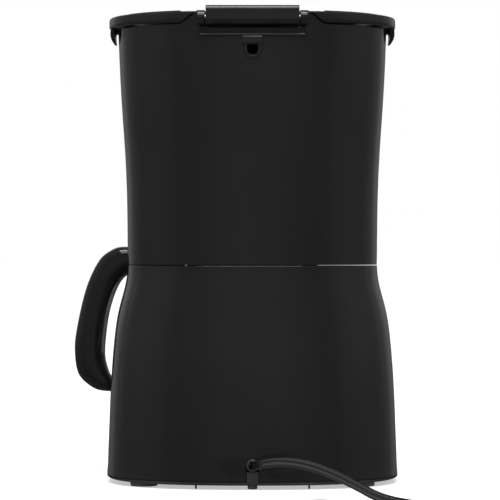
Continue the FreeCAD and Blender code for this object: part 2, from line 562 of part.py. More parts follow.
def carafe_glass():
    """Blown jug: flat foot, full belly, narrow neck and a turned-out rim."""
    z = PLATE_TOP + 0.3
    outer = [(50, z + 0.5), (54.6, z + 2.0), (61.5, z + 14), (64, z + 36), (60, z + 62), (50, z + 86),
             (44.4, z + 97), (44.4, z + 104), (45.6, z + 108)]
    inner = [(43.4, z + 108), (42.2, z + 104), (42.2, z + 97), (47.6, z + 85), (57.6, z + 61), (61.6, z + 36),
             (59.2, z + 15), (52.4, z + 4.2), (46, z + 3.0)]
    def at(points):
        return [V(r, CARAFE_Y, h) for r, h in points]
    first, last = at(outer), at(inner)
    foot, floor = V(0, CARAFE_Y, z), V(0, CARAFE_Y, z + 3.0)
    rest = V(46, CARAFE_Y, z)
    edges = [Part.LineSegment(foot, rest).toShape(), Part.LineSegment(rest, first[0]).toShape(), spline_edge(first),
             Part.LineSegment(first[-1], last[0]).toShape(), spline_edge(last),
             Part.LineSegment(last[-1], floor).toShape(), Part.LineSegment(floor, foot).toShape()]
    jug = Part.Face(Part.Wire(edges)).revolve(V(0, CARAFE_Y, 0), Z_AXIS, 360)
    return jug


BAND_LOW, BAND_HIGH = PLATE_TOP + 97.5, PLATE_TOP + 105.5


def carafe_band():
    """Steel band clamped round the neck, with two ears that reach into the handle."""
    ring = tube_ring(46.2, 45.0, BAND_LOW, BAND_HIGH, 0, CARAFE_Y)
    ears = box(45.2, 58, CARAFE_Y - 4.2, CARAFE_Y - 3.0, BAND_LOW, BAND_HIGH).fuse(
        box(45.2, 58, CARAFE_Y + 3.0, CARAFE_Y + 4.2, BAND_LOW, BAND_HIGH))
    ring = ring.cut(box(44, 50, CARAFE_Y - 3.0, CARAFE_Y + 3.0, BAND_LOW - 1, BAND_HIGH + 1))
    hole = Part.makeCylinder(1.6, 20, V(54, CARAFE_Y - 10, (BAND_LOW + BAND_HIGH) / 2), Y_AXIS)
    return ring.fuse(ears.cut(hole))


HANDLE_OUT = [(66, 154.6), (82, 157.8), (90, 158.7), (97.6, 157.0), (107.4, 149.2), (116.6, 129.8),
              (123.4, 100.5), (HANDLE_REACH, 84), (121.6, 68.8), (111.0, 59.4), (99.8, 56.8)]
HANDLE_IN = [(97.4, 65.2), (101.2, 73.0), (103.4, 86.0), (100.4, 112), (94.0, 131.2), (86.4, 139.6),
             (75, 141.6), (62, 140.6)]
HANDLE_HALF = 10.0


def carafe_handle():
    """C-shaped grip, free at its lower end, its upper arm closed round the band's ears."""
    out_pts = [V(x, CARAFE_Y, z) for x, z in HANDLE_OUT]
    in_pts = [V(x, CARAFE_Y, z) for x, z in HANDLE_IN]
    root_top, root_low = V(47.0, CARAFE_Y, 151.0), V(47.0, CARAFE_Y, 131.0)
    edges = [Part.LineSegment(root_top, out_pts[0]).toShape(), spline_edge(out_pts),
             Part.LineSegment(out_pts[-1], in_pts[0]).toShape(), spline_edge(in_pts),
             Part.LineSegment(in_pts[-1], root_low).toShape(), Part.LineSegment(root_low, root_top).toShape()]
    face = Part.Face(Part.Wire(edges))
    grip = face.extrude(V(0, 2 * HANDLE_HALF, 0)).translated(V(0, -HANDLE_HALF, 0))
    rounds = [e for e in grip.Edges if e.BoundBox.YLength < 0.1 and e.Length > 20]
    for radius in (6.0, 5.0, 4.0, 3.0):
        try:
            rounded = grip.makeFillet(radius, rounds)
            if rounded.isValid() and rounded.Volume > 0:
                grip = rounded
                print("handle rounded at", radius)
                break
        except Exception:
            continue
    grip = grip.cut(cyl(46.6, 100, 180, 0, CARAFE_Y))
    pocket = box(40, 58.6, CARAFE_Y - 4.6, CARAFE_Y + 4.6, BAND_LOW - 0.4, BAND_HIGH + 0.4)
    return grip.cut(pocket)


def band_screw():
    """Screw drawn across the band's ears inside the handle."""
    z = (BAND_LOW + BAND_HIGH) / 2
    return Part.makeCylinder(1.6, 9.0, V(54, CARAFE_Y - 4.4, z), Y_AXIS)


def carafe_lid():
    """Twist-on lid: a skirt inside the neck, a dished top with the drip hole, and two finger ribs."""
    top = [(0, 152.4), (14, 152.4), (17, 156.6), (40, 156.6), (44.6, 153.4), (45.8, 148.5), (45.8, PLATE_TOP + 109),
           (41.4, PLATE_TOP + 109), (41.4, 140.5), (39.4, 140.5), (39.4, 150.0), (0, 150.0)]
    body = revolve(top, CARAFE_Y)
    for i in range(6):
        body = body.cut(cyl(1.5, 148, 154, 8 * math.cos(math.pi * i / 3), CARAFE_Y + 8 * math.sin(math.pi * i / 3)))
    boss = cyl(5.0, 151, 160.6, 0, CARAFE_Y).cut(cyl(2.0, 140, 159, 0, CARAFE_Y))
    for side in (-1, 1):
        rib = box(20, 36, -1.6, 1.6, 156, 160.0)
        rib = rib.makeFillet(1.4, [e for e in rib.Edges if e.BoundBox.ZMin > 159 and e.BoundBox.XLength > 5])
        body = body.fuse(rib.rotated(V(0, 0, 0), Z_AXIS, 90 * side).translated(V(0, CARAFE_Y, 0)))
    return body.fuse(boss)


# ---- mains lead ---------------------------------------------------------------------------------
LEAD = [V(0, 74, CORD_Z), V(0, 86, CORD_Z), V(-3.2, 96.5, 17.2), V(-10.5, 107, 19.6), V(-22, 118, 21.0),
        V(-36, 131, 19.6), V(-51, 149, 15.4), V(-64, 171, 10.4), V(-75, 191, 5.4), V(-85, 209, 3.2),
        V(-95, 230, 3.2), V(-102, 252, 3.2), V(-104.2, 270, 3.2)]
TAIL = [V(-58, 310, 6.6), V(-44, 309.6, 10.2), V(-29, 311.5, 10.0), V(-15, 314.5, 6.6), V(-2, 316, 6.2),
        V(9, 316, 6.2)]
PLUG_X, PLUG_Y, PLUG_Z = 9.0, 316.0, 6.2


def plug():
    """Flat two-blade plug: a waisted, ribbed body with a tapered relief, and its blades."""
    sleeve = Part.makeCone(4.0, 5.6, 14, V(PLUG_X, PLUG_Y, PLUG_Z), X_AXIS)
    body = box(PLUG_X + 12, PLUG_X + 40, PLUG_Y - 12.2, PLUG_Y + 12.2, 0.1, 12.3)
    body = body.makeFillet(4.5, [e for e in body.Edges if e.BoundBox.ZLength > 5])
    body = body.makeFillet(1.4, [e for e in body.Edges if e.BoundBox.ZLength < 0.1])
    for i in range(3):
        for side in (-1, 1):
            body = body.cut(box(PLUG_X + 19 + 5 * i, PLUG_X + 21.4 + 5 * i, PLUG_Y + side * 12.6 - 1.2,
                                PLUG_Y + side * 12.6 + 1.2, 1.5, 11))
    body = body.fuse(sleeve)
    blades = []
    for side, wide in ((-1, 6.35), (1, 7.9)):
        y = PLUG_Y + side * 6.35
        blade = box(PLUG_X + 34, PLUG_X + 56.5, y - 0.76, y + 0.76, PLUG_Z - wide / 2, PLUG_Z + wide / 2)
        hole = Part.makeCylinder(1.6, 6, V(PLUG_X + 52.5, y - 3, PLUG_Z), Y_AXIS)
        blades.append(blade.cut(hole))
    for blade in blades:
        body = body.cut(blade)
    return body, blades


def coil():
    """Outer shape of the put-away turns: a flat ring on the table."""
    return tube_ring(COIL_OUT, COIL_IN, 0.0, 6.4, COIL_CENTRE.x, COIL_CENTRE.y)


def tie():
    """Strap round the bundle of turns."""
    x0, x1, y = COIL_CENTRE.x + COIL_IN - 0.6, COIL_CENTRE.x + COIL_OUT + 0.1, COIL_CENTRE.y
    return box(x0 - 0.9, x1 + 0.9, y - 4, y + 4, 0.0, 7.4).cut(box(x0, x1, y - 5, y + 5, -1, 6.5))


# ---- build --------------------------------------------------------------------------------------
def wires():
    """Internal leads from the cord clamp to the switch and the heater."""
    runs = [[V(-1.6, 56.4, 15), V(-30, 50, 10), V(-78, 0, 10), V(-80, -60, 10), V(-50, -105, 12), V(-4, SWITCH_Y + 18.6, 16)],
            [V(1.6, 56.4, 15), V(34, 48, 10), V(78, 0, 10), V(80, -60, 10), V(50, -105, 12), V(4, SWITCH_Y + 18.6, 16)],
            [V(0, 56.4, 17.6), V(-3, 44, 12), V(-4, 14, 9), V(-4, -20, 10), V(-9.5, -32.5, 21.8)]]
    return [pipe(p, 1.3) for p in runs]


def rocker():
    """Rocker key, tipped to its off side, and the frame round it."""
    y0, zc = SWITCH_Y, 20.0
    frame = box(-8.6, 8.6, y0, y0 + 2.0, zc - 11.2, zc + 11.2)
    frame = frame.makeFillet(1.6, [e for e in frame.Edges if e.BoundBox.YLength > 1])
    frame = frame.fuse(box(-6.7, 6.7, y0 + 1, y0 + 17, zc - 9.3, zc + 9.3))
    frame = frame.cut(box(-5.6, 5.6, y0 - 1, y0 + 14, zc - 8.3, zc + 8.3))
    pivot_y = y0 + 5.6
    bore = Part.makeCylinder(1.05, 14, V(-7, pivot_y, zc), X_AXIS)
    key = Part.makeCylinder(7.7, 10.4, V(-5.2, pivot_y, zc), X_AXIS)
    face = [V(-5.2, pivot_y - 6.6, zc - 7.6), V(-5.2, pivot_y - 5.4, zc), V(-5.2, pivot_y - 6.6, zc + 7.6),
            V(-5.2, pivot_y + 7, zc + 7.6), V(-5.2, pivot_y + 7, zc - 7.6)]
    prism = Part.Face(Part.makePolygon(face + face[:1])).extrude(V(10.4, 0, 0))
    key = key.common(prism).fuse(Part.makeCylinder(1.0, 12.8, V(-6.4, pivot_y, zc), X_AXIS))
    key = key.rotated(V(0, pivot_y, zc), X_AXIS, 9)
    return frame.cut(bore), key


os.makedirs("parts", exist_ok=True)

lower_rear, lower_front = lower_housing()
write("lower_rear_cover", lower_rear)
write("base_housing", lower_front)
upper_rear, head = upper_housing()
write("upper_rear_cover", upper_rear)
write("head_housing", head)
write("base_plate", base_plate())
write("rubber_feet", *feet())
write("base_screws", *[screw(x, y, FOOT_H - 0.4, 12) for x, y in SCREWS])

write("lid", lid())
write("lid_panel", lid_panel())
write("lid_hinge_pin", Part.makeCylinder(PIN_R, 70.6, V(-35.3, HINGE_Y, HINGE_Z), X_AXIS))

write("water_tank", tank())
write("top_deck", top_deck())
write("spray_head", spray_head())
write("heater", heater())
write("heater_element", heater_element())
write("thermostat", thermostat())
cold_hose, hot_hose = hoses()
write("cold_hose", cold_hose)
write("riser_hose", hot_hose)
write("hose_clips", spring_clip(OUTLET.x, OUTLET.y, 135, 6.4), spring_clip(RISER.x, RISER.y, 186, 4.4))

write("warming_plate", revolve([(0, DECK_TOP - 1.0), (54, DECK_TOP - 1.0), (PLATE_R, DECK_TOP - 1.0),
                                (PLATE_R, DECK_TOP + 1.2), (PLATE_R - 1.2, PLATE_TOP), (0, PLATE_TOP)], CARAFE_Y))
write("plate_seal", tube_ring(PLATE_R + 1.5, PLATE_R + 0.05, DECK_TOP - 2.4, DECK_TOP + 0.9, 0, CARAFE_Y))

write("filter_holder", filter_holder())
write("holder_hinge_pin", cyl(PIN_R, HEAD_Z - 3.6, DOOR_TOP + 4.6, PIVOT.x, PIVOT.y))
write("filter_basket", filter_basket())
plunger, seal = drip_valve()
write("drip_stop_plunger", plunger)
write("drip_stop_seal", seal)
write("drip_stop_spring", helix_spring(3.4, 0.35, 163.8 + 0.35, 176.0 - 0.35, 5))

write("carafe_glass", carafe_glass())
write("carafe_band", carafe_band())
write("carafe_handle", carafe_handle())
write("band_screw", band_screw())
write("carafe_lid", carafe_lid())

frame, key = rocker()
write("switch_frame", frame)
write("switch_rocker", key)
lens = Part.makeCylinder(2.9, 12, V(18, -139.8, 20), Y_AXIS)
write("indicator_lens", lens.makeFillet(1.2, [e for e in lens.Edges if e.BoundBox.YMax < -139]))
write("wiring", *wires())

collar = Part.makeCylinder(4.1, 8.6, V(0, 77.4, CORD_Z), Y_AXIS)
collar = collar.makeFillet(0.9, [e for e in collar.Edges if e.BoundBox.YMin > 85])
collar = collar.fuse(Part.makeCylinder(6.0, 3.0, V(0, 76.4, CORD_Z), Y_AXIS))
lead = pipe(LEAD, CORD_R, label="lead")
write("cord_grommet", collar.cut(lead))
write("lead_inner", lead_inner())
clamp, clamp_screws = cord_clamp()
write("cord_clamp", clamp)
write("clamp_screws", *clamp_screws)
write("power_cord", lead)
write("cord_coil", coil())
write("cord_tail", pipe(TAIL, CORD_R, label="tail"))
write("cord_tie", tie())
plug_body, plug_blades = plug()
write("plug_body", plug_body)
write("plug_blades", *plug_blades)
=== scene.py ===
"""Looks of the drip coffee maker: a finish for each moulding, its mains lead, and plain studio light."""
import json
import logging
import math
from dataclasses import dataclass
from enum import Enum
from typing import Any, Sequence

import bmesh
import bpy
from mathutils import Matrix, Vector

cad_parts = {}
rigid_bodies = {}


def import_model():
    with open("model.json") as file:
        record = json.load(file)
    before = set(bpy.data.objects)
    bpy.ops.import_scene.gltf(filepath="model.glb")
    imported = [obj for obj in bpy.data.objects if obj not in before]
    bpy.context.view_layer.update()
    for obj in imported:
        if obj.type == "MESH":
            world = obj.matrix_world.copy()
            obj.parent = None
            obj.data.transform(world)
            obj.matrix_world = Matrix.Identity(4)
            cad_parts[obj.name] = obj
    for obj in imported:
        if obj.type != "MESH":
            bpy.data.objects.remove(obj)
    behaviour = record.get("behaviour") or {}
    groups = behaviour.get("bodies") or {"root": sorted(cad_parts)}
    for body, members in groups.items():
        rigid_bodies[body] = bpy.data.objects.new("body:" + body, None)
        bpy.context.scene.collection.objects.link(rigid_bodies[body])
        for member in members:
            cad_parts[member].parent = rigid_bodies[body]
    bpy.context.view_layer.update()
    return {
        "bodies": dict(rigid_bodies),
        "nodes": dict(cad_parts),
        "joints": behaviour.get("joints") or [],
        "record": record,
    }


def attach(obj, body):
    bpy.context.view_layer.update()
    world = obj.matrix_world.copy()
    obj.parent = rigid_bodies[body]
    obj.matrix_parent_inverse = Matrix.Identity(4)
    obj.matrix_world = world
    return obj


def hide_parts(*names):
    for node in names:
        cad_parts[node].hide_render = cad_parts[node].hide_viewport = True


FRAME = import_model()
LOG = logging.getLogger("coffee_maker")
Point = tuple[float, float, float]
Colour = tuple[float, float, float, float]
Settings = dict[str, Any] | None
Inputs = dict[Any, Any] | None
Socket = bpy.types.NodeSocket

# The row frame's origin in machine axes, in metres: X across, Y front to back, Z up from the table.
ROW_ORIGIN = Vector((0.0131, -0.0275, 0.0))
MM = 1000  # millimetres in a metre
RAY = 0.2  # how far a point may travel to the surface that it is laid on, in metres
ROUND_SIDES = 8  # sides of a small round bead or rib
SPLINE_STEPS = 24  # steps between two points of a smooth outline


def machine(x: float, y: float, z: float) -> Point:
    """Turns a point in machine millimetres into the row frame in metres."""
    return tuple(Vector((x, y, z)) / MM - ROW_ORIGIN)


def grey(value: float) -> Colour:
    """An opaque linear grey."""
    return (value, value, value, 1.0)


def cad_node(name: str) -> bpy.types.Object:
    """The frame's object of a node."""
    return FRAME["nodes"][name]


def new_node(tree: bpy.types.NodeTree, kind: str, settings: Settings = None,
             values: Inputs = None) -> bpy.types.Node:
    """Adds a node to any tree.

    Args:
        tree: the tree that gets it.
        kind: the node's type name.
        settings: attributes set before its sockets; "stops" fills a colour ramp.
        values: numbers, colours or sockets for its inputs, by index or name.

    Returns:
        The node.
    """
    node = tree.nodes.new(kind)
    for key, setting in (settings or {}).items():
        if key == "stops":
            elements = node.color_ramp.elements
            while len(elements) < len(setting):
                elements.new(0.5)
            for element, (place, colour) in zip(elements, setting):
                element.position, element.color = place, colour
        else:
            setattr(node, key, setting)
    for key, value in (values or {}).items():
        if isinstance(value, Socket):
            tree.links.new(value, node.inputs[key])
        else:
            node.inputs[key].default_value = value
    return node


# ---- shader maths ---------------------------------------------------------------------------------
class Value:
    """A number that varies over a surface, with arithmetic that adds Math nodes."""

    def __init__(self, shader: "Shader", socket: Socket) -> None:
        """Wraps one output socket of a shader's tree."""
        self.shader = shader
        self.socket = socket

    def _math(self, operation: str, first: Any, second: Any = None) -> "Value":
        """Adds one Math node.

        Args:
            operation: the Math node's operation.
            first: first operand, a Value or a number.
            second: second operand, where the operation has one.

        Returns:
            The node's result.
        """
        values = {0: first} if second is None else {0: first, 1: second}
        return self.shader.add("ShaderNodeMath", {"operation": operation}, values).value()

    def __add__(self, other: Any) -> "Value":
        """Sum."""
        return self._math("ADD", self, other)

    __radd__ = __add__

    def __mul__(self, other: Any) -> "Value":
        """Product."""
        return self._math("MULTIPLY", self, other)

    __rmul__ = __mul__

    def __sub__(self, other: Any) -> "Value":
        """Difference."""
        return self._math("SUBTRACT", self, other)

    def __rsub__(self, other: Any) -> "Value":
        """Difference from a number."""
        return self._math("SUBTRACT", other, self)

    def __pow__(self, other: Any) -> "Value":
        """Power."""
        return self._math("POWER", self, other)

    def sine(self) -> "Value":
        """Sine."""
        return self._math("SINE", self)

    def root(self) -> "Value":
        """Square root."""
        return self._math("SQRT", self)

    def ramp(self, low: float, high: float, out_low: float = 0.0, out_high: float = 1.0) -> "Value":
        """Maps a stretch of this value to another, clamped and eased at both ends.

        Args:
            low: value that gives out_low.
            high: value that gives out_high.
            out_low: result at and below low.
            out_high: result at and above high.

        Returns:
            The mapped value.
        """
        node = self.shader.add("ShaderNodeMapRange", {"interpolation_type": "SMOOTHSTEP"},
                               {0: self, 1: low, 2: high, 3: out_low, 4: out_high})
        return node.value()


class Added:
    """A node just added, from which outputs are taken."""

    def __init__(self, shader: "Shader", node: bpy.types.Node) -> None:
        """Wraps a node of a shader's tree."""
        self.shader = shader
        self.node = node

    def value(self, output: Any = 0) -> Value:
        """One of the node's outputs, by index or name."""
        return Value(self.shader, self.node.outputs[output])


class Shader:
    """A material's node tree round one Principled surface."""

    def __init__(self, name: str) -> None:
        """Makes the material, empty but for its surface and output.

        Args:
            name: the material's name.
        """
        self.material = bpy.data.materials.new(name)
        self.material.use_nodes = True
        self.tree = self.material.node_tree
        self.tree.nodes.clear()
        self.surface = self.tree.nodes.new("ShaderNodeBsdfPrincipled")
        output = self.tree.nodes.new("ShaderNodeOutputMaterial")
        self.tree.links.new(self.surface.outputs[0], output.inputs["Surface"])

    def add(self, kind: str, settings: Settings = None, values: Inputs = None) -> Added:
        """Adds any node.

        Args:
            kind: the node's type name.
            settings: attributes set before its sockets.
            values: numbers, colours or Values for its inputs, by index or name.

        Returns:
            The node, for its outputs.
        """
        plain = {key: value.socket if isinstance(value, Value) else value
                 for key, value in (values or {}).items()}
        return Added(self, new_node(self.tree, kind, settings, plain))

    def place(self) -> Value:
        """Object coordinates, in metres."""
        return self.add("ShaderNodeTexCoord").value("Object")

    def stretched(self, scale: Sequence[float]) -> Value:
        """Object coordinates multiplied along each axis."""
        return self.add("ShaderNodeMapping", None, {"Vector": self.place(), "Scale": tuple(scale)}).value()

    def parts(self) -> tuple[Value, Value, Value]:
        """Object coordinates as three numbers."""
        node = self.add("ShaderNodeSeparateXYZ", None, {0: self.place()})
        return node.value(0), node.value(1), node.value(2)

    def noise(self, grain: float, detail: float = 3.0, rough: float = 0.5, at: Value | None = None) -> Value:
        """Soft noise from 0 to 1.

        Args:
            grain: size of its features, in metres.
            detail: octaves.
            rough: weight of the finer octaves.
            at: coordinates, Object ones by default.

        Returns:
            The noise's factor.
        """
        values = {"Vector": at or self.place(), "Scale": 1.0 / grain, "Detail": detail, "Roughness": rough}
        return self.add("ShaderNodeTexNoise", None, values).value("Fac")

    def cells(self, grain: float, feature: str = "F1", at: Value | None = None) -> Value:
        """Distance to the nearest of scattered points, a grain metres apart."""
        values = {"Vector": at or self.place(), "Scale": 1.0 / grain}
        return self.add("ShaderNodeTexVoronoi", {"feature": feature}, values).value("Distance")

    def colours(self, share: Value, first: Colour, second: Colour) -> Value:
        """Colour between two by a share from 0 to 1."""
        node = self.add("ShaderNodeMix", {"data_type": "RGBA"}, {0: share, 6: first, 7: second})
        return node.value(2)

    def relief(self, height: Value, depth: float, under: Value | None = None) -> Value:
        """Normal bent by a height from 0 to 1.

        Args:
            height: the relief's height.
            depth: how tall a height of 1 is, in metres.
            under: the normal that is bent, the surface's own by default.

        Returns:
            The bent normal.
        """
        values: dict[Any, Any] = {"Height": height, "Distance": depth, "Strength": 1.0}
        if under is not None:
            values["Normal"] = under
        return self.add("ShaderNodeBump", None, values).value()

    def rounded(self, radius: float) -> Value:
        """Normal that turns smoothly over an edge, as if it had that radius in metres."""
        return self.add("ShaderNodeBevel", {"samples": 6}, {"Radius": radius}).value()

    def edge_wear(self, radius: float) -> Value:
        """How far the rounded normal leaves the true one.

        Args:
            radius: how wide the worn edge is, in metres.

        Returns:
            1 on edges and 0 on flats.
        """
        rounded = self.rounded(radius)
        true = self.add("ShaderNodeNewGeometry").value("Normal")
        dot = self.add("ShaderNodeVectorMath", {"operation": "DOT_PRODUCT"},
                       {0: rounded, 1: true}).value("Value")
        return (1.0 - dot).ramp(0.02, 0.25)

    def feed(self, **values: Any) -> None:
        """Sets the surface's sockets.

        Args:
            values: numbers, colours or Values, by the socket's name with underscores for spaces.
        """
        for key, value in values.items():
            socket = self.surface.inputs[key.replace("_", " ")]
            if isinstance(value, Value):
                self.tree.links.new(value.socket, socket)
            else:
                socket.default_value = value


# ---- finishes -------------------------------------------------------------------------------------
@dataclass(frozen=True)
class Finish:
    """A finish that dresses any piece."""

    name: str

    def paint(self, shader: Shader) -> None:
        """Fills the shader.

        Args:
            shader: the material's tree.
        """
        raise NotImplementedError

    def material(self) -> bpy.types.Material:
        """Builds the finish's material.

        Returns:
            The material.
        """
        shader = Shader(self.name)
        self.paint(shader)
        return shader.material


@dataclass(frozen=True)
class PolishedPlastic(Finish):
    """Polished moulding: faint orange peel, wiping haze, dust specks."""

    base: float = 0.0066
    rough: float = 0.055
    peel: float = 0.0035
    peel_depth: float = 0.000006
    round: float = 0.001
    haze_patch: float = 0.045
    wipe_patch: float = 0.006
    speck_gap: float = 0.0065
    dust_patch: float = 0.03
    speck_depth: float = 0.00003

    def paint(self, shader: Shader) -> None:
        """Fills the shader.

        Args:
            shader: the material's tree.
        """
        haze = shader.noise(self.haze_patch, 4, 0.55, shader.stretched((1.0, 1.0, 0.45)))
        wiped = shader.noise(self.wipe_patch, 3, 0.6, shader.stretched((0.5, 0.5, 3.0)))
        dusty = shader.noise(self.dust_patch, 2).ramp(0.52, 0.72)
        specks = shader.cells(self.speck_gap).ramp(0.018, 0.05, 1.0, 0.0) * dusty
        colour = shader.colours(haze * 0.35 + specks * 0.5, grey(self.base), grey(self.base * 2.1 + 0.004))
        hazy, streaky = haze.ramp(0.35, 0.75, 0.0, 0.07), wiped.ramp(0.5, 0.8, 0.0, 0.035)
        rough = self.rough + hazy + streaky + specks * 0.25
        peel = shader.noise(self.peel, 2, 0.4)
        peeled = shader.relief(peel, self.peel_depth, shader.rounded(self.round))
        normal = shader.relief(specks, self.speck_depth, peeled)
        shader.feed(Base_Color=colour, Roughness=rough, Normal=normal, IOR=1.49, Specular_IOR_Level=0.5)


@dataclass(frozen=True)
class GrainedPlastic(Finish):
    """Moulding from a spark-eroded tool: fine even grain, rubbed smoother on its edges."""

    base: float = 0.018
    rough: float = 0.46
    grain: float = 0.0006
    depth: float = 0.00006
    worn_edge: float = 0.0012
    tone_patch: float = 0.03

    def paint(self, shader: Shader) -> None:
        """Fills the shader.

        Args:
            shader: the material's tree.
        """
        pits = shader.cells(self.grain) * 0.6 + shader.noise(self.grain * 2.5, 3) * 0.5
        rubbed = shader.edge_wear(self.worn_edge)
        tone = shader.noise(self.tone_patch, 4).ramp(0.3, 0.75)
        colour = shader.colours(tone * 0.7 + rubbed * 0.3, grey(self.base), grey(self.base * 1.7 + 0.004))
        rough = self.rough + tone * 0.1 - rubbed * 0.14
        shader.feed(Base_Color=colour, Roughness=rough, Normal=shader.relief(pits, self.depth), IOR=1.5)


@dataclass(frozen=True)
class SoftRubber(Finish):
    """Rubber or silicone, dulled and dusty in patches."""

    base: Colour = (0.045, 0.045, 0.047, 1.0)
    rough: float = 0.62
    dust_patch: float = 0.008
    bump: float = 0.0012
    bump_depth: float = 0.00004

    def paint(self, shader: Shader) -> None:
        """Fills the shader.

        Args:
            shader: the material's tree.
        """
        dust = shader.noise(self.dust_patch, 5, 0.6).ramp(0.45, 0.75)
        pale = tuple(min(1.0, c * 1.5 + 0.03) for c in self.base[:3]) + (1.0,)
        bumps = shader.noise(self.bump, 3)
        shader.feed(Base_Color=shader.colours(dust * 0.6, self.base, pale), IOR=1.45,
                    Roughness=self.rough + dust * 0.2, Normal=shader.relief(bumps, self.bump_depth))


@dataclass(frozen=True)
class BrightSteel(Finish):
    """Plated or ground steel with fine lines and dulled patches."""

    base: Colour = (0.58, 0.57, 0.55, 1.0)
    rough: float = 0.26
    lines: Point = (1.0, 1.0, 40.0)
    line_depth: float = 0.000012
    line_grain: float = 0.003
    dull_patch: float = 0.007
    dulled: float = 0.72

    def paint(self, shader: Shader) -> None:
        """Fills the shader.

        Args:
            shader: the material's tree.
        """
        lines = shader.noise(self.line_grain, 5, 0.7, shader.stretched(self.lines))
        dull = shader.noise(self.dull_patch, 4).ramp(0.45, 0.7)
        dark = tuple(c * self.dulled for c in self.base[:3]) + (1.0,)
        shader.feed(Base_Color=shader.colours(dull, self.base, dark), Metallic=1.0,
                    Roughness=self.rough + lines * 0.16 + dull * 0.1,
                    Normal=shader.relief(lines, self.line_depth))


@dataclass(frozen=True)
class CastMetal(Finish):
    """Die-cast aluminium: open grain and darker flow marks."""

    base: Colour = (0.56, 0.56, 0.57, 1.0)
    flow_mark: Colour = (0.33, 0.33, 0.34, 1.0)
    flow_patch: float = 0.018
    grain: float = 0.0014
    depth: float = 0.00025

    def paint(self, shader: Shader) -> None:
        """Fills the shader.

        Args:
            shader: the material's tree.
        """
        grain = shader.noise(self.grain, 6, 0.75)
        flow = shader.noise(self.flow_patch, 4, 0.6).ramp(0.4, 0.7)
        shader.feed(Base_Color=shader.colours(flow, self.base, self.flow_mark), Metallic=0.9,
                    Roughness=0.48 + grain * 0.2, Normal=shader.relief(grain, self.depth))


@dataclass(frozen=True)
class MilkyPlastic(Finish):
    """Natural polypropylene, a little clouded by scale near the bottom."""

    base: Colour = (0.66, 0.67, 0.65, 1.0)
    scaled: Colour = (0.78, 0.77, 0.72, 1.0)
    scale_foot: float = 0.15
    scale_top: float = 0.24
    scale_patch: float = 0.012
    ripple: float = 0.002
    ripple_depth: float = 0.00004

    def paint(self, shader: Shader) -> None:
        """Fills the shader.

        Args:
            shader: the material's tree.
        """
        height = shader.parts()[2]
        low = height.ramp(self.scale_foot, self.scale_top, 1.0, 0.0)
        scale = low * shader.noise(self.scale_patch, 5, 0.6).ramp(0.4, 0.7)
        ripples = shader.relief(shader.noise(self.ripple, 3), self.ripple_depth)
        shader.feed(Base_Color=shader.colours(scale, self.base, self.scaled),
                    Roughness=0.38 + scale * 0.25, Normal=ripples,
                    Subsurface_Weight=0.12, Subsurface_Radius=(0.01, 0.01, 0.009), IOR=1.49)


@dataclass(frozen=True)
class PlateCoating(Finish):
    """Non-stick coating on the warming plate: fine speckle, rings rubbed by the jug's foot."""

    centre: Point = (0.0, 0.0, 0.0)
    ring: tuple[float, float, float, float] = (0.040, 0.047, 0.049, 0.055)
    ring_patch: float = 0.006
    speckle_gap: float = 0.0011
    bump: float = 0.0009
    bump_depth: float = 0.00006

    def paint(self, shader: Shader) -> None:
        """Fills the shader.

        Args:
            shader: the material's tree.
        """
        x, y, _ = shader.parts()
        radius = ((x - self.centre[0]) ** 2.0 + (y - self.centre[1]) ** 2.0).root()
        begins, full, fades, ends = self.ring
        ring = radius.ramp(begins, full) * radius.ramp(fades, ends, 1.0, 0.0)
        rubbed = ring * shader.noise(self.ring_patch, 4).ramp(0.35, 0.7)
        speckle = shader.cells(self.speckle_gap).ramp(0.1, 0.2, 1.0, 0.0)
        bumps = shader.noise(self.bump, 4, 0.6)
        colour = shader.colours(rubbed * 0.7 + speckle * 0.35, grey(0.02), grey(0.11))
        shader.feed(Base_Color=colour, Roughness=0.36 - rubbed * 0.1 + speckle * 0.1,
                    Normal=shader.relief(bumps, self.bump_depth), Coat_Weight=0.15)


@dataclass(frozen=True)
class JugGlass(Finish):
    """Clear blown glass with a faint tint and drying marks."""

    tint: Colour = (0.96, 0.985, 0.975, 1.0)
    mark_patch: float = 0.01
    wave: float = 0.03
    wave_depth: float = 0.0001

    def paint(self, shader: Shader) -> None:
        """Fills the shader.

        Args:
            shader: the material's tree.
        """
        marks = shader.noise(self.mark_patch, 5, 0.65).ramp(0.55, 0.8)
        waves = shader.noise(self.wave, 2, 0.4, shader.stretched((1.0, 1.0, 0.4)))
        shader.feed(Base_Color=self.tint, Roughness=0.015 + marks * 0.06, IOR=1.47,
                    Transmission_Weight=1.0, Normal=shader.relief(waves, self.wave_depth))


@dataclass(frozen=True)
class TintedLens(Finish):
    """Tinted lamp lens with fine moulded lines."""

    base: Colour = (0.55, 0.02, 0.012, 1.0)
    between: Colour = (0.35, 0.01, 0.008, 1.0)
    line_rate: float = 9000.0
    line_depth: float = 0.00003

    def paint(self, shader: Shader) -> None:
        """Fills the shader.

        Args:
            shader: the material's tree.
        """
        lines = (shader.parts()[0] * self.line_rate).sine() * 0.5 + 0.5
        shader.feed(Base_Color=shader.colours(lines, self.base, self.between), Roughness=0.1 + lines * 0.08,
                    Normal=shader.relief(lines, self.line_depth), Transmission_Weight=0.25, IOR=1.49)


@dataclass(frozen=True)
class WovenSleeve(Finish):
    """Woven glass sleeving."""

    base: Colour = (0.62, 0.6, 0.54, 1.0)
    between: Colour = (0.4, 0.38, 0.33, 1.0)
    yarn_rate: float = 7000.0
    depth: float = 0.0002

    def paint(self, shader: Shader) -> None:
        """Fills the shader.

        Args:
            shader: the material's tree.
        """
        x, y, z = shader.parts()
        weave = ((x + z) * self.yarn_rate).sine() * ((y - z) * self.yarn_rate).sine() * 0.5 + 0.5
        shader.feed(Base_Color=shader.colours(weave, self.between, self.base), Roughness=0.7 + weave * 0.1,
                    Normal=shader.relief(weave, self.depth))


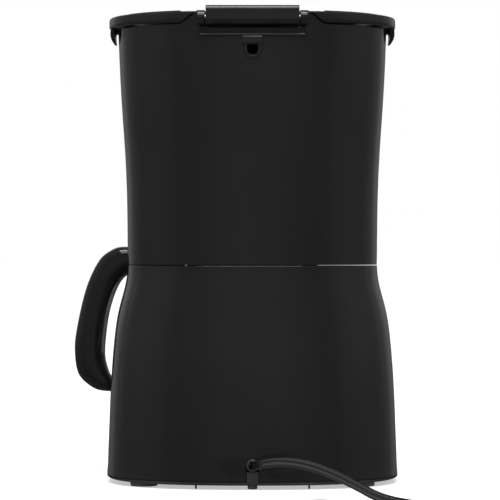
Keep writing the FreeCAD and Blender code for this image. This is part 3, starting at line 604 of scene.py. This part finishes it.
@dataclass(frozen=True)
class LeadJacket(Finish):
    """Glossy vinyl jacket of the lead, scuffed and slightly wavy."""

    base: float = 0.009
    scuff_patch: float = 0.004
    wave: float = 0.01
    wave_depth: float = 0.00006

    def paint(self, shader: Shader) -> None:
        """Fills the shader.

        Args:
            shader: the material's tree.
        """
        scuffs = shader.noise(self.scuff_patch, 5, 0.7).ramp(0.55, 0.8)
        waves = shader.noise(self.wave, 2)
        shader.feed(Base_Color=shader.colours(scuffs, grey(self.base), grey(self.base * 2.4)),
                    Roughness=0.1 + scuffs * 0.1, Normal=shader.relief(waves, self.wave_depth), IOR=1.53,
                    Specular_IOR_Level=1.0, Coat_Weight=1.0, Coat_Roughness=0.1, Coat_IOR=1.8)


class Slot(Enum):
    """The record's material slots."""

    GLOSS = "gloss_black"
    MATT = "matte_black"
    FOOT = "foot_rubber"
    SCREW = "screw_steel"
    PIN = "pin_steel"
    TANK = "tank_plastic"
    CAST = "cast_aluminium"
    PHENOLIC = "thermostat_body"
    SILICONE = "silicone"
    PLATE = "plate_coating"
    GLASS = "clear_glass"
    BAND = "band_steel"
    KEY = "switch_key"
    LAMP = "lamp_red"
    SLEEVE = "wire_sleeve"
    LEAD = "cord_jacket"
    TIE = "tie_plastic"
    PLUG = "plug_plastic"
    BRASS = "plug_brass"


Palette = dict[Slot, bpy.types.Material]


def finishes() -> dict[Slot, Finish]:
    """Lists the machine's finishes.

    Returns:
        The finish of each material slot.
    """
    return {
        Slot.GLOSS: PolishedPlastic("polished black plastic"),
        Slot.MATT: GrainedPlastic("grained black plastic"),
        Slot.FOOT: SoftRubber("foot rubber"),
        Slot.SCREW: BrightSteel("zinc plated steel", rough=0.34, lines=(1.0, 1.0, 1.0)),
        Slot.PIN: BrightSteel("ground steel pin", lines=(12.0, 1.0, 1.0)),
        Slot.TANK: MilkyPlastic("natural tank plastic"),
        Slot.CAST: CastMetal("cast aluminium"),
        Slot.PHENOLIC: GrainedPlastic("phenolic moulding", base=0.07, rough=0.5),
        Slot.SILICONE: SoftRubber("translucent silicone", (0.66, 0.65, 0.61, 1.0), 0.4),
        Slot.PLATE: PlateCoating("warming plate coating", machine(0, -65, 35)),
        Slot.GLASS: JugGlass("jug glass"),
        Slot.BAND: BrightSteel("brushed band steel", (0.62, 0.61, 0.6, 1.0), 0.24),
        Slot.KEY: PolishedPlastic("switch key plastic", base=0.02, rough=0.2),
        Slot.LAMP: TintedLens("red lamp lens"),
        Slot.SLEEVE: WovenSleeve("woven wire sleeve"),
        Slot.LEAD: LeadJacket("lead jacket"),
        Slot.TIE: GrainedPlastic("tie plastic", base=0.03),
        Slot.PLUG: GrainedPlastic("plug vinyl", base=0.02, rough=0.36),
        Slot.BRASS: BrightSteel("plug brass", (0.72, 0.56, 0.27, 1.0), 0.24, (1.0, 20.0, 1.0)),
    }


@dataclass
class Mouldings:
    """Dresses every node that keeps its own shape."""

    palette: Palette

    def dress(self, frame: dict[str, Any]) -> None:
        """Gives each node the material of its slot.

        Args:
            frame: the loaded frame.
        """
        slots = {s["node"]: Slot(s["material_slot"]) for s in frame["record"]["subparts"]}
        for name, obj in frame["nodes"].items():
            obj.data.materials.clear()
            obj.data.materials.append(self.palette[slots[name]])
        LOG.info("dressed %d nodes", len(slots))


# ---- pieces made by Geometry Nodes ----------------------------------------------------------------
class Recipe:
    """A Geometry Nodes tree that makes one repeated or surface-following piece."""

    def __init__(self, name: str) -> None:
        """Starts a tree with one geometry output.

        Args:
            name: the name of the tree and of its piece.
        """
        self.name = name
        self.tree = bpy.data.node_groups.new(name, "GeometryNodeTree")
        self.tree.interface.new_socket("Geometry", in_out="OUTPUT", socket_type="NodeSocketGeometry")
        self.given = self.tree.nodes.new("NodeGroupInput")
        self.inputs: dict[str, Any] = {}

    def size(self, name: str, value: Any) -> Socket:
        """Adds a named input to the tree.

        Args:
            name: what it sizes.
            value: a whole number, number, vector, object or material.

        Returns:
            The socket that gives it inside the tree.
        """
        kinds = ((int, "Int"), (float, "Float"), (bpy.types.Object, "Object"),
                 (bpy.types.Material, "Material"))
        kind = next((k for t, k in kinds if isinstance(value, t)), "Vector")
        item = self.tree.interface.new_socket(name, in_out="INPUT", socket_type="NodeSocket" + kind)
        self.inputs[item.identifier] = value
        return self.given.outputs[name]

    def add(self, kind: str, settings: Settings = None, values: Inputs = None) -> bpy.types.Node:
        """Adds a node.

        Args:
            kind: the node's type name, without its leading GeometryNode where it has one.
            settings: attributes set first.
            values: numbers or sockets for its inputs, by index or name.

        Returns:
            The node.
        """
        full = kind if kind.startswith("ShaderNode") else "GeometryNode" + kind
        return new_node(self.tree, full, settings, values)

    def make(self, kind: str, settings: Settings = None, values: Inputs = None) -> Socket:
        """Adds a node as add does and gives its first output."""
        return self.add(kind, settings, values).outputs[0]

    def vector(self, operation: str, first: Any, second: Any) -> Socket:
        """One Vector Math node's result."""
        return self.make("ShaderNodeVectorMath", {"operation": operation}, {0: first, 1: second})

    def onto(self, geometry: Socket, target: Socket, axis: Socket, across: Point, reach: float,
             lift: Socket) -> Socket:
        """Moves every point along its ray from or to an axis until it lies on a target's surface.

        Args:
            geometry: what is moved.
            target: the object whose surface it follows.
            axis: a point on the axis.
            across: 1 on the two directions across the axis and 0 along it.
            reach: 1 to look away from the axis, -1 to look towards it.
            lift: how far the points stop before the surface.

        Returns:
            The moved geometry.
        """
        here = self.make("InputPosition")
        flat = self.vector("MULTIPLY", self.vector("SUBTRACT", here, axis), across)
        ray = self.make("ShaderNodeVectorMath", {"operation": "SCALE"}, {0: flat, "Scale": reach})
        ray = self.make("ShaderNodeVectorMath", {"operation": "NORMALIZE"}, {0: ray})
        info = self.add("ObjectInfo", {"transform_space": "ORIGINAL"}, {"Object": target})
        cast = self.add("Raycast", None, {"Target Geometry": info.outputs["Geometry"], "Ray Direction": ray,
                                          "Source Position": here, "Ray Length": RAY})
        back = self.make("ShaderNodeVectorMath", {"operation": "SCALE"}, {0: ray, "Scale": lift})
        place = self.vector("SUBTRACT", cast.outputs["Hit Position"], back)
        return self.make("SetPosition", None, {"Geometry": geometry, "Selection": cast.outputs["Is Hit"],
                                               "Position": place})

    def piece(self, geometry: Socket, material: bpy.types.Material) -> bpy.types.Object:
        """Ends the tree, runs it once and keeps its result as a plain mesh.

        Args:
            geometry: what the tree has made.
            material: the piece's material.

        Returns:
            The piece.
        """
        coat = self.size("Finish", material)
        real = self.make("RealizeInstances", None, {0: geometry})
        smooth = self.make("SetShadeSmooth", None, {0: real})
        dressed = self.make("SetMaterial", None, {"Geometry": smooth, "Material": coat})
        self.tree.links.new(dressed, self.tree.nodes.new("NodeGroupOutput").inputs[0])
        seed = bpy.data.objects.new(self.name, bpy.data.meshes.new(self.name + "_seed"))
        bpy.context.scene.collection.objects.link(seed)
        modifier = seed.modifiers.new("recipe", "NODES")
        modifier.node_group = self.tree
        for identifier, value in self.inputs.items():
            modifier[identifier] = value
        bpy.context.view_layer.update()
        made = bpy.data.meshes.new_from_object(seed.evaluated_get(bpy.context.evaluated_depsgraph_get()))
        seed.modifiers.clear()
        seed.data = made
        made.name = self.name
        LOG.info("%s: %d faces", self.name, len(made.polygons))
        return seed


def ride(piece: bpy.types.Object, body: str) -> bpy.types.Object:
    """Hangs a new piece on its body.

    Args:
        piece: the new piece.
        body: the body that carries it.

    Returns:
        The piece.
    """
    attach(piece, body)
    LOG.info("%s rides on %s", piece.name, body)
    return piece


# ---- carafe ---------------------------------------------------------------------------------------
@dataclass
class Carafe:
    """The jug's rounded grip and the level marks on its glass.

    The grip's sizes are in machine millimetres, and shares from -1 to 1 across its section. The marks'
    sizes are in metres.
    """

    palette: Palette
    axis_y: float = -65.0
    half: float = 10.0
    groove: float = 0.45
    groove_at: float = 0.66
    groove_width: float = 0.045
    roundness: float = 0.74
    rows: int = 88
    around: int = 96
    end_rows: float = 3.0
    end_taper: float = 0.09
    outer: tuple[tuple[float, float], ...] = (
        (47.6, 151.2), (66, 154.6), (82, 157.8), (90, 158.7), (97.6, 157.0), (107.4, 149.2), (116.6, 129.8),
        (123.4, 100.5), (124.6, 84), (121.6, 68.8), (111.0, 59.4), (99.8, 56.8))
    inner: tuple[tuple[float, float], ...] = (
        (47.6, 131.2), (62, 140.6), (75, 141.6), (86.4, 139.6), (94.0, 131.2), (100.4, 112), (103.4, 86.0),
        (101.2, 73.0), (97.4, 65.2))
    marks: int = 9
    first_mark: Point = (-16, -150, 56)
    mark_step: float = 0.0075
    mark_long: float = 0.016
    mark_tall: float = 0.0009
    mark_points: int = 18
    shortened: float = 0.45
    lift: float = 0.00012
    thickness: float = 0.00018
    joined_within: float = 0.00001

    def build(self) -> None:
        """Makes both pieces."""
        self.grip()
        self.levels()

    def grip(self) -> bpy.types.Object:
        """Sweeps the grip's rounded section between its outer and inner lines, with the insert's groove.

        Returns:
            The grip.
        """
        rows, around = self.rows, self.around
        outer, inner = even(self.outer, rows), even(self.inner, rows)
        verts: list[Point] = []
        for i, (far, near) in enumerate(zip(outer, inner)):
            middle, arm = (far + near) / 2, (far - near) / 2
            end = min(1.0, (rows - 1 - i) / self.end_rows)
            round_off = 1.0 - self.end_taper * (1.0 - end) ** 2
            for k in range(around):
                angle = 2 * math.pi * k / around
                c, t = math.cos(angle), math.sin(angle)
                u = math.copysign(abs(c) ** self.roundness, c) * round_off
                v = math.copysign(abs(t) ** self.roundness, t) * round_off
                cut = math.exp(-((u + self.groove_at) / self.groove_width) ** 2) * self.groove
                v -= math.copysign(cut / self.half, v)
                spot = middle + arm * u
                verts.append(machine(spot.x, self.axis_y + self.half * v, spot.y))
        faces = [(i * around + k, i * around + (k + 1) % around, (i + 1) * around + (k + 1) % around,
                  (i + 1) * around + k) for i in range(rows - 1) for k in range(around)]
        faces += [tuple(reversed(range(around))), tuple(range(len(verts) - around, len(verts)))]
        mesh = bpy.data.meshes.new("carafe_grip")
        mesh.from_pydata(verts, [], faces)
        outward(mesh)
        mesh.shade_smooth()
        mesh.materials.append(self.palette[Slot.GLOSS])
        grip = bpy.data.objects.new("carafe_grip", mesh)
        bpy.context.scene.collection.objects.link(grip)
        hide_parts("carafe_handle")
        return ride(grip, "carafe")

    def levels(self) -> bpy.types.Object:
        """Lays level marks on the front of the glass, every second one shorter.

        Returns:
            The marks.
        """
        recipe = Recipe("level_marks")
        count = recipe.size("Marks", self.marks)
        step = recipe.size("Step", self.mark_step)
        first = recipe.size("First", Vector(machine(*self.first_mark)))
        axis = recipe.size("Axis", Vector(machine(0, self.axis_y, 0)))
        lift = recipe.size("Lift", self.lift)
        thick = recipe.size("Thickness", self.thickness)
        target = recipe.size("Jug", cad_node("carafe_glass"))
        rise = recipe.make("ShaderNodeCombineXYZ", None, {2: step})
        line = recipe.make("MeshLine", {"mode": "OFFSET"},
                           {"Count": count, "Start Location": first, "Offset": rise})
        bar = recipe.make("MeshGrid", None, {"Size X": self.mark_long, "Size Y": self.mark_tall,
                                             "Vertices X": self.mark_points, "Vertices Y": 2})
        bar = recipe.make("Transform", None, {"Geometry": bar, "Rotation": (math.radians(90), 0, 0)})
        index = recipe.make("InputIndex")
        odd = recipe.make("ShaderNodeMath", {"operation": "MODULO"}, {0: index, 1: 2.0})
        short = recipe.make("ShaderNodeMath", {"operation": "MULTIPLY_ADD"},
                            {0: odd, 1: -self.shortened, 2: 1.0})
        scale = recipe.make("ShaderNodeCombineXYZ", None, {0: short, 1: 1.0, 2: 1.0})
        put = recipe.make("InstanceOnPoints", None, {"Points": line, "Instance": bar, "Scale": scale})
        real = recipe.make("RealizeInstances", None, {0: put})
        laid = recipe.onto(real, target, axis, (1, 1, 0), -1.0, lift)
        raised = recipe.make("ExtrudeMesh", None, {"Mesh": laid, "Offset Scale": thick, "Individual": False})
        under = recipe.make("FlipFaces", None, {0: laid})
        both = recipe.add("JoinGeometry")
        recipe.tree.links.new(raised, both.inputs[0])
        recipe.tree.links.new(under, both.inputs[0])
        closed = recipe.make("MergeByDistance", None,
                             {"Geometry": both.outputs[0], "Distance": self.joined_within})
        return ride(recipe.piece(closed, self.palette[Slot.TANK]), "carafe")


def even(corners: Sequence[tuple[float, float]], count: int) -> list[Vector]:
    """Points evenly spaced along a smooth curve through the given ones.

    Args:
        corners: points that the curve passes.
        count: how many points to return.

    Returns:
        The points, in the plane of the corners.
    """
    p = [Vector(c) for c in corners]
    p = [2 * p[0] - p[1], *p, 2 * p[-1] - p[-2]]
    fine: list[Vector] = []
    for a, b, c, d in zip(p, p[1:], p[2:], p[3:]):
        for step in range(SPLINE_STEPS):
            t = step / SPLINE_STEPS
            fine.append(0.5 * (2 * b + (c - a) * t + (2 * a - 5 * b + 4 * c - d) * t ** 2
                               + (3 * b - a - 3 * c + d) * t ** 3))
    fine.append(p[-2])
    run = [0.0]
    for a, b in zip(fine, fine[1:]):
        run.append(run[-1] + (b - a).length)
    spaced, k = [], 0
    for i in range(count):
        want = run[-1] * i / (count - 1)
        while k < len(run) - 2 and run[k + 1] < want:
            k += 1
        spaced.append(fine[k].lerp(fine[k + 1], (want - run[k]) / (run[k + 1] - run[k])))
    return spaced


def outward(mesh: bpy.types.Mesh) -> None:
    """Turns a closed mesh's faces outwards.

    Args:
        mesh: the mesh to turn.
    """
    shape = bmesh.new()
    shape.from_mesh(mesh)
    bmesh.ops.recalc_face_normals(shape, faces=shape.faces)
    shape.to_mesh(mesh)
    shape.free()


# ---- brew basket ----------------------------------------------------------------------------------
@dataclass
class BrewBasket:
    """Ribs inside the basket that hold the paper filter off its wall."""

    palette: Palette
    ribs: int = 18
    rib_radius: float = 0.0008
    rib_points: int = 26
    rib_step: float = 0.0026
    start_radius: float = 0.004
    foot: Point = (0, -65, 200)

    def build(self) -> bpy.types.Object:
        """Lays the ribs along the basket's inner wall.

        Returns:
            The ribs.
        """
        recipe = Recipe("basket_ribs")
        count = recipe.size("Ribs", self.ribs)
        axis = recipe.size("Axis", Vector(machine(*self.foot)))
        radius = recipe.size("Rib radius", self.rib_radius)
        sink = recipe.size("Sink", 0.0)
        target = recipe.size("Basket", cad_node("filter_basket"))
        ring = recipe.make("MeshCircle", None, {"Vertices": count, "Radius": self.start_radius})
        ring = recipe.make("Transform", None, {"Geometry": ring, "Translation": axis})
        rod = recipe.make("MeshLine", {"mode": "OFFSET"},
                          {"Count": self.rib_points, "Offset": (0, 0, self.rib_step)})
        rod = recipe.make("MeshToCurve", None, {0: rod})
        put = recipe.make("InstanceOnPoints", None, {"Points": ring, "Instance": rod})
        real = recipe.make("RealizeInstances", None, {0: put})
        laid = recipe.onto(real, target, axis, (1, 1, 0), 1.0, sink)
        profile = recipe.make("CurvePrimitiveCircle", None, {"Resolution": ROUND_SIDES, "Radius": radius})
        swept = recipe.make("CurveToMesh", None,
                            {"Curve": laid, "Profile Curve": profile, "Fill Caps": True})
        return ride(recipe.piece(swept, self.palette[Slot.MATT]), "holder")


# ---- mains lead -----------------------------------------------------------------------------------
@dataclass
class TwinLead:
    """The flat twin mains lead: its free stretch, its put-away turns and its tail, one smooth curve.

    Its sizes are in metres, and its places in machine millimetres.
    """

    width: float = 0.0064
    thickness: float = 0.0034
    turns: float = 2.25
    steps_per_turn: int = 14
    length: float = 0.83
    leaves_at: Point = (0, 80, 16)
    pitch: float = 0.0066
    outer: float = 0.0422
    coil_centre: Point = (-62.0, 283.0, 3.2)
    lead: tuple[Point, ...] = (
        (0, 74, 16.0), (0, 86, 16.0), (-3.2, 96.5, 17.2), (-10.5, 107, 19.6), (-22, 118, 21.0),
        (-36, 131, 19.6), (-51, 149, 15.4), (-64, 171, 10.4), (-75, 191, 5.4), (-85, 209, 3.3),
        (-95, 230, 3.3), (-102, 252, 3.3), (-104.2, 270, 3.3))
    tail: tuple[Point, ...] = (
        (-58, 310, 7.6), (-44, 309.6, 10.2), (-29, 311.5, 10.0), (-15, 314.5, 6.6), (-2, 316, 6.2),
        (9, 316, 6.2))

    def route(self) -> list[Point]:
        """Strings the lead's control points together.

        Returns:
            The points, from inside the notch to the plug.
        """
        points = [machine(*p) for p in self.lead]
        cx, cy, z = self.coil_centre
        count = int(self.turns * self.steps_per_turn)
        for i in range(1, count):
            share = i / self.steps_per_turn
            angle = math.pi - 2 * math.pi * share
            r = self.outer * MM - self.pitch * MM * share
            points.append(machine(cx + r * math.cos(angle), cy + r * math.sin(angle), z))
        return points + [machine(*p) for p in self.tail]

    def line(self) -> bpy.types.Object:
        """Makes the centreline.

        Returns:
            A curve of one open spline.
        """
        curve = bpy.data.curves.new("lead_route", "CURVE")
        curve.dimensions = "3D"
        curve.resolution_u = 12
        spline = curve.splines.new("NURBS")
        points = self.route()
        spline.points.add(len(points) - 1)
        for knot, place in zip(spline.points, points):
            knot.co = (*place, 1.0)
        spline.order_u = 3
        spline.use_endpoint_u = True
        route = bpy.data.objects.new("lead_route", curve)
        bpy.context.scene.collection.objects.link(route)
        return route

    def build(self, jacket: bpy.types.Material) -> bpy.types.Object:
        """Args:
            jacket: the lead's material.

        Returns:
            The lead.
        """
        route = self.line()
        path = follow(route)
        lead = sweep("mains_lead", path, twin_section(self.width, self.thickness), jacket)
        bpy.data.objects.remove(route)
        ride(lead, "machine")
        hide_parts("power_cord", "cord_coil", "cord_tail")
        length = sum((b - a).length for a, b in zip(path, path[1:]))
        LOG.info("%s: %.3f m long", lead.name, length)
        return lead


@dataclass
class PlugGrip:
    """Beads round the plug that give the fingers a hold."""

    palette: Palette
    beads: int = 5
    first_bead: Point = (22, 316, 6.2)
    gap: float = 0.0035
    bead_radius: float = 0.0005
    proud: float = 0.0003
    hoop_points: int = 48
    hoop_radius: float = 0.03

    def build(self) -> bpy.types.Object:
        """Lays the beads round the plug.

        Returns:
            The beads.
        """
        recipe = Recipe("plug_beads")
        count = recipe.size("Beads", self.beads)
        first = recipe.size("First", Vector(machine(*self.first_bead)))
        gap = recipe.size("Gap", Vector((self.gap, 0.0, 0.0)))
        bead = recipe.size("Bead radius", self.bead_radius)
        sink = recipe.size("Sink", -self.proud)
        target = recipe.size("Plug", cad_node("plug_body"))
        line = recipe.make("MeshLine", {"mode": "OFFSET"},
                           {"Count": count, "Start Location": first, "Offset": gap})
        hoop = recipe.make("CurvePrimitiveCircle", None,
                           {"Resolution": self.hoop_points, "Radius": self.hoop_radius})
        hoop = recipe.make("Transform", None, {"Geometry": hoop, "Rotation": (0, math.radians(90), 0)})
        put = recipe.make("InstanceOnPoints", None, {"Points": line, "Instance": hoop})
        real = recipe.make("RealizeInstances", None, {0: put})
        laid = recipe.onto(real, target, first, (0, 1, 1), -1.0, sink)
        profile = recipe.make("CurvePrimitiveCircle", None, {"Resolution": ROUND_SIDES, "Radius": bead})
        swept = recipe.make("CurveToMesh", None, {"Curve": laid, "Profile Curve": profile})
        return ride(recipe.piece(swept, self.palette[Slot.PLUG]), "machine")


def follow(route: bpy.types.Object) -> list[Vector]:
    """Reads the points of a route's own smooth curve.

    Args:
        route: a curve with no bevel.

    Returns:
        The points in order.
    """
    bpy.context.view_layer.update()
    mesh = bpy.data.meshes.new_from_object(route.evaluated_get(bpy.context.evaluated_depsgraph_get()))
    points = [v.co.copy() for v in mesh.vertices]
    bpy.data.meshes.remove(mesh)
    return points


def twin_section(width: float, thickness: float, steps: int = 10) -> list[tuple[float, float]]:
    """Outline of two joined cores, the width along its second axis.

    Args:
        width: across both cores.
        thickness: of one core.
        steps: points on each core's outer arc.

    Returns:
        The outline's points.
    """
    r = thickness / 2
    away = width / 2 - r
    pinch = math.asin(min(0.95, 0.8 * away / r))
    outline = []
    for side in (1, -1):
        for i in range(steps + 1):
            t = -pinch + (math.pi + 2 * pinch) * i / steps
            outline.append((r * math.cos(t) * side, (away + r * math.sin(t)) * side))
    return outline


def sweep(name: str, path: list[Vector], outline: list[tuple[float, float]],
          material: bpy.types.Material) -> bpy.types.Object:
    """Draws an outline along a path, its second axis as near to upright as the path allows.

    Args:
        name: the piece's name.
        path: points of the centreline.
        outline: points of the section.
        material: the piece's material.

    Returns:
        The closed tube.
    """
    verts: list[Vector] = []
    faces: list[tuple[int, ...]] = []
    n = len(outline)
    for i, here in enumerate(path):
        ahead = (path[min(i + 1, len(path) - 1)] - path[max(i - 1, 0)]).normalized()
        side = ahead.cross(Vector((0, 0, 1))).normalized()
        up = side.cross(ahead).normalized()
        verts += [here + side * u + up * v for u, v in outline]
    for i in range(len(path) - 1):
        for k in range(n):
            a, b = i * n + k, i * n + (k + 1) % n
            faces.append((a, a + n, b + n, b))
    faces += [tuple(range(n)), tuple(reversed(range(len(verts) - n, len(verts))))]
    mesh = bpy.data.meshes.new(name)
    mesh.from_pydata([tuple(v) for v in verts], [], faces)
    outward(mesh)
    mesh.shade_smooth()
    mesh.materials.append(material)
    obj = bpy.data.objects.new(name, mesh)
    bpy.context.scene.collection.objects.link(obj)
    return obj


# ---- studio ---------------------------------------------------------------------------------------
@dataclass(frozen=True)
class Softbox:
    """A soft rectangular light: where it hangs, what it points at, its size in metres and its watts."""

    name: str
    place: Point
    aim: Point
    size: tuple[float, float]
    watts: float


@dataclass
class Studio:
    """White table, white surroundings, soft lights and the camera."""

    focal: float = 209.6
    sensor: float = 36.0
    distance: float = 1.98
    eye: float = 0.1564
    aside: float = 1.65
    farthest: float = 100.0
    table_half: float = 40.0
    table_tone: float = 0.62
    table_glow: float = 0.46
    mirrored: tuple[tuple[float, float], ...] = (
        (0.0, 0.12), (0.06, 0.26), (0.14, 0.17), (0.32, 0.155), (0.56, 0.215), (0.74, 0.18), (0.84, 0.105),
        (0.91, 0.115), (0.973, 0.15), (1.0, 0.2))
    lower_dimmed: tuple[float, float, float, float] = (-0.14, 0.1, 0.42, 1.3)
    softboxes: tuple[Softbox, ...] = (
        Softbox("overhead", (0.0, 0.45, 2.0), (0, 0, 0.1), (1.3, 0.6), 24.0),
        Softbox("near_side", (0.0, 1.9, 2.4), (0, 0.1, 0.2), (1.6, 0.6), 16.0))

    def build(self) -> None:
        """Makes the floor, world, lights and camera."""
        self.floor()
        self.world()
        self.lights()
        self.camera()

    def floor(self) -> None:
        """Lays the table top."""
        mesh = bpy.data.meshes.new("table_top")
        h = self.table_half
        mesh.from_pydata([(-h, -h, 0), (h, -h, 0), (h, h, 0), (-h, h, 0)], [], [(0, 1, 2, 3)])
        shader = Shader("pale table top")
        shader.feed(Base_Color=grey(self.table_tone), Roughness=0.9, Specular_IOR_Level=0.0,
                    Emission_Color=grey(1.0), Emission_Strength=self.table_glow)
        mesh.materials.append(shader.material)
        obj = bpy.data.objects.new("table_top", mesh)
        obj.visible_glossy = False
        bpy.context.scene.collection.objects.link(obj)

    def world(self) -> None:
        """Makes white surroundings that light evenly, and a dimmer room for gloss to mirror."""
        world = bpy.data.worlds.new("studio")
        bpy.context.scene.world = world
        world.use_nodes = True
        tree = world.node_tree
        tree.nodes.clear()
        facing = new_node(tree, "ShaderNodeTexCoord").outputs["Generated"]
        split = new_node(tree, "ShaderNodeSeparateXYZ", None, {0: facing})
        depth = new_node(tree, "ShaderNodeMapRange", None, {0: split.outputs[1], 1: -1.0})
        stops = [(place, grey(tone)) for place, tone in self.mirrored]
        ramp = new_node(tree, "ShaderNodeValToRGB", {"stops": stops}, {0: depth.outputs[0]})
        low, high, dim, bright = self.lower_dimmed
        height = new_node(tree, "ShaderNodeMapRange", None,
                          {0: split.outputs[2], 1: low, 2: high, 3: dim, 4: bright})
        dimmed = new_node(tree, "ShaderNodeMix", {"data_type": "RGBA", "blend_type": "MULTIPLY"},
                          {0: 1.0, 6: ramp.outputs[0], 7: height.outputs[0]})
        ray = new_node(tree, "ShaderNodeLightPath").outputs
        shown = new_node(tree, "ShaderNodeMath", {"operation": "MAXIMUM"},
                         {0: ray["Is Camera Ray"], 1: ray["Is Diffuse Ray"]})
        mix = new_node(tree, "ShaderNodeMix", {"data_type": "RGBA"},
                       {0: shown.outputs[0], 6: dimmed.outputs[2], 7: grey(1.0)})
        back = new_node(tree, "ShaderNodeBackground", None, {0: mix.outputs[2]})
        new_node(tree, "ShaderNodeOutputWorld", None, {0: back.outputs[0]})

    def lights(self) -> None:
        """Hangs a long soft light overhead and a weaker one over the near side."""
        for box in self.softboxes:
            data = bpy.data.lights.new(box.name, "AREA")
            data.shape = "RECTANGLE"
            data.size, data.size_y = box.size
            data.energy = box.watts
            obj = bpy.data.objects.new(box.name, data)
            obj.location = box.place
            obj.rotation_euler = (Vector(box.aim) - Vector(box.place)).to_track_quat("-Z", "Y").to_euler()
            bpy.context.scene.collection.objects.link(obj)

    def camera(self) -> None:
        """Sets the camera level with the middle of the machine, far behind it."""
        data = bpy.data.cameras.new("camera")
        data.sensor_width = self.sensor
        data.lens = self.focal
        data.clip_end = self.farthest
        obj = bpy.data.objects.new("camera", data)
        x, y, _ = machine(self.aside, 0, 0)
        obj.location = (x, y + self.distance, self.eye)
        obj.rotation_euler = (math.radians(90), 0, math.radians(180))
        bpy.context.scene.collection.objects.link(obj)
        bpy.context.scene.camera = obj


def main() -> None:
    """Builds the coffee maker's looks."""
    logging.basicConfig(level=logging.INFO, format="%(message)s")
    bpy.context.scene.view_settings.view_transform = "Standard"
    Studio().build()
    palette = {slot: finish.material() for slot, finish in finishes().items()}
    Mouldings(palette).dress(FRAME)
    TwinLead().build(palette[Slot.LEAD])
    Carafe(palette).build()
    BrewBasket(palette).build()
    PlugGrip(palette).build()


if __name__ == "__main__":
    main()
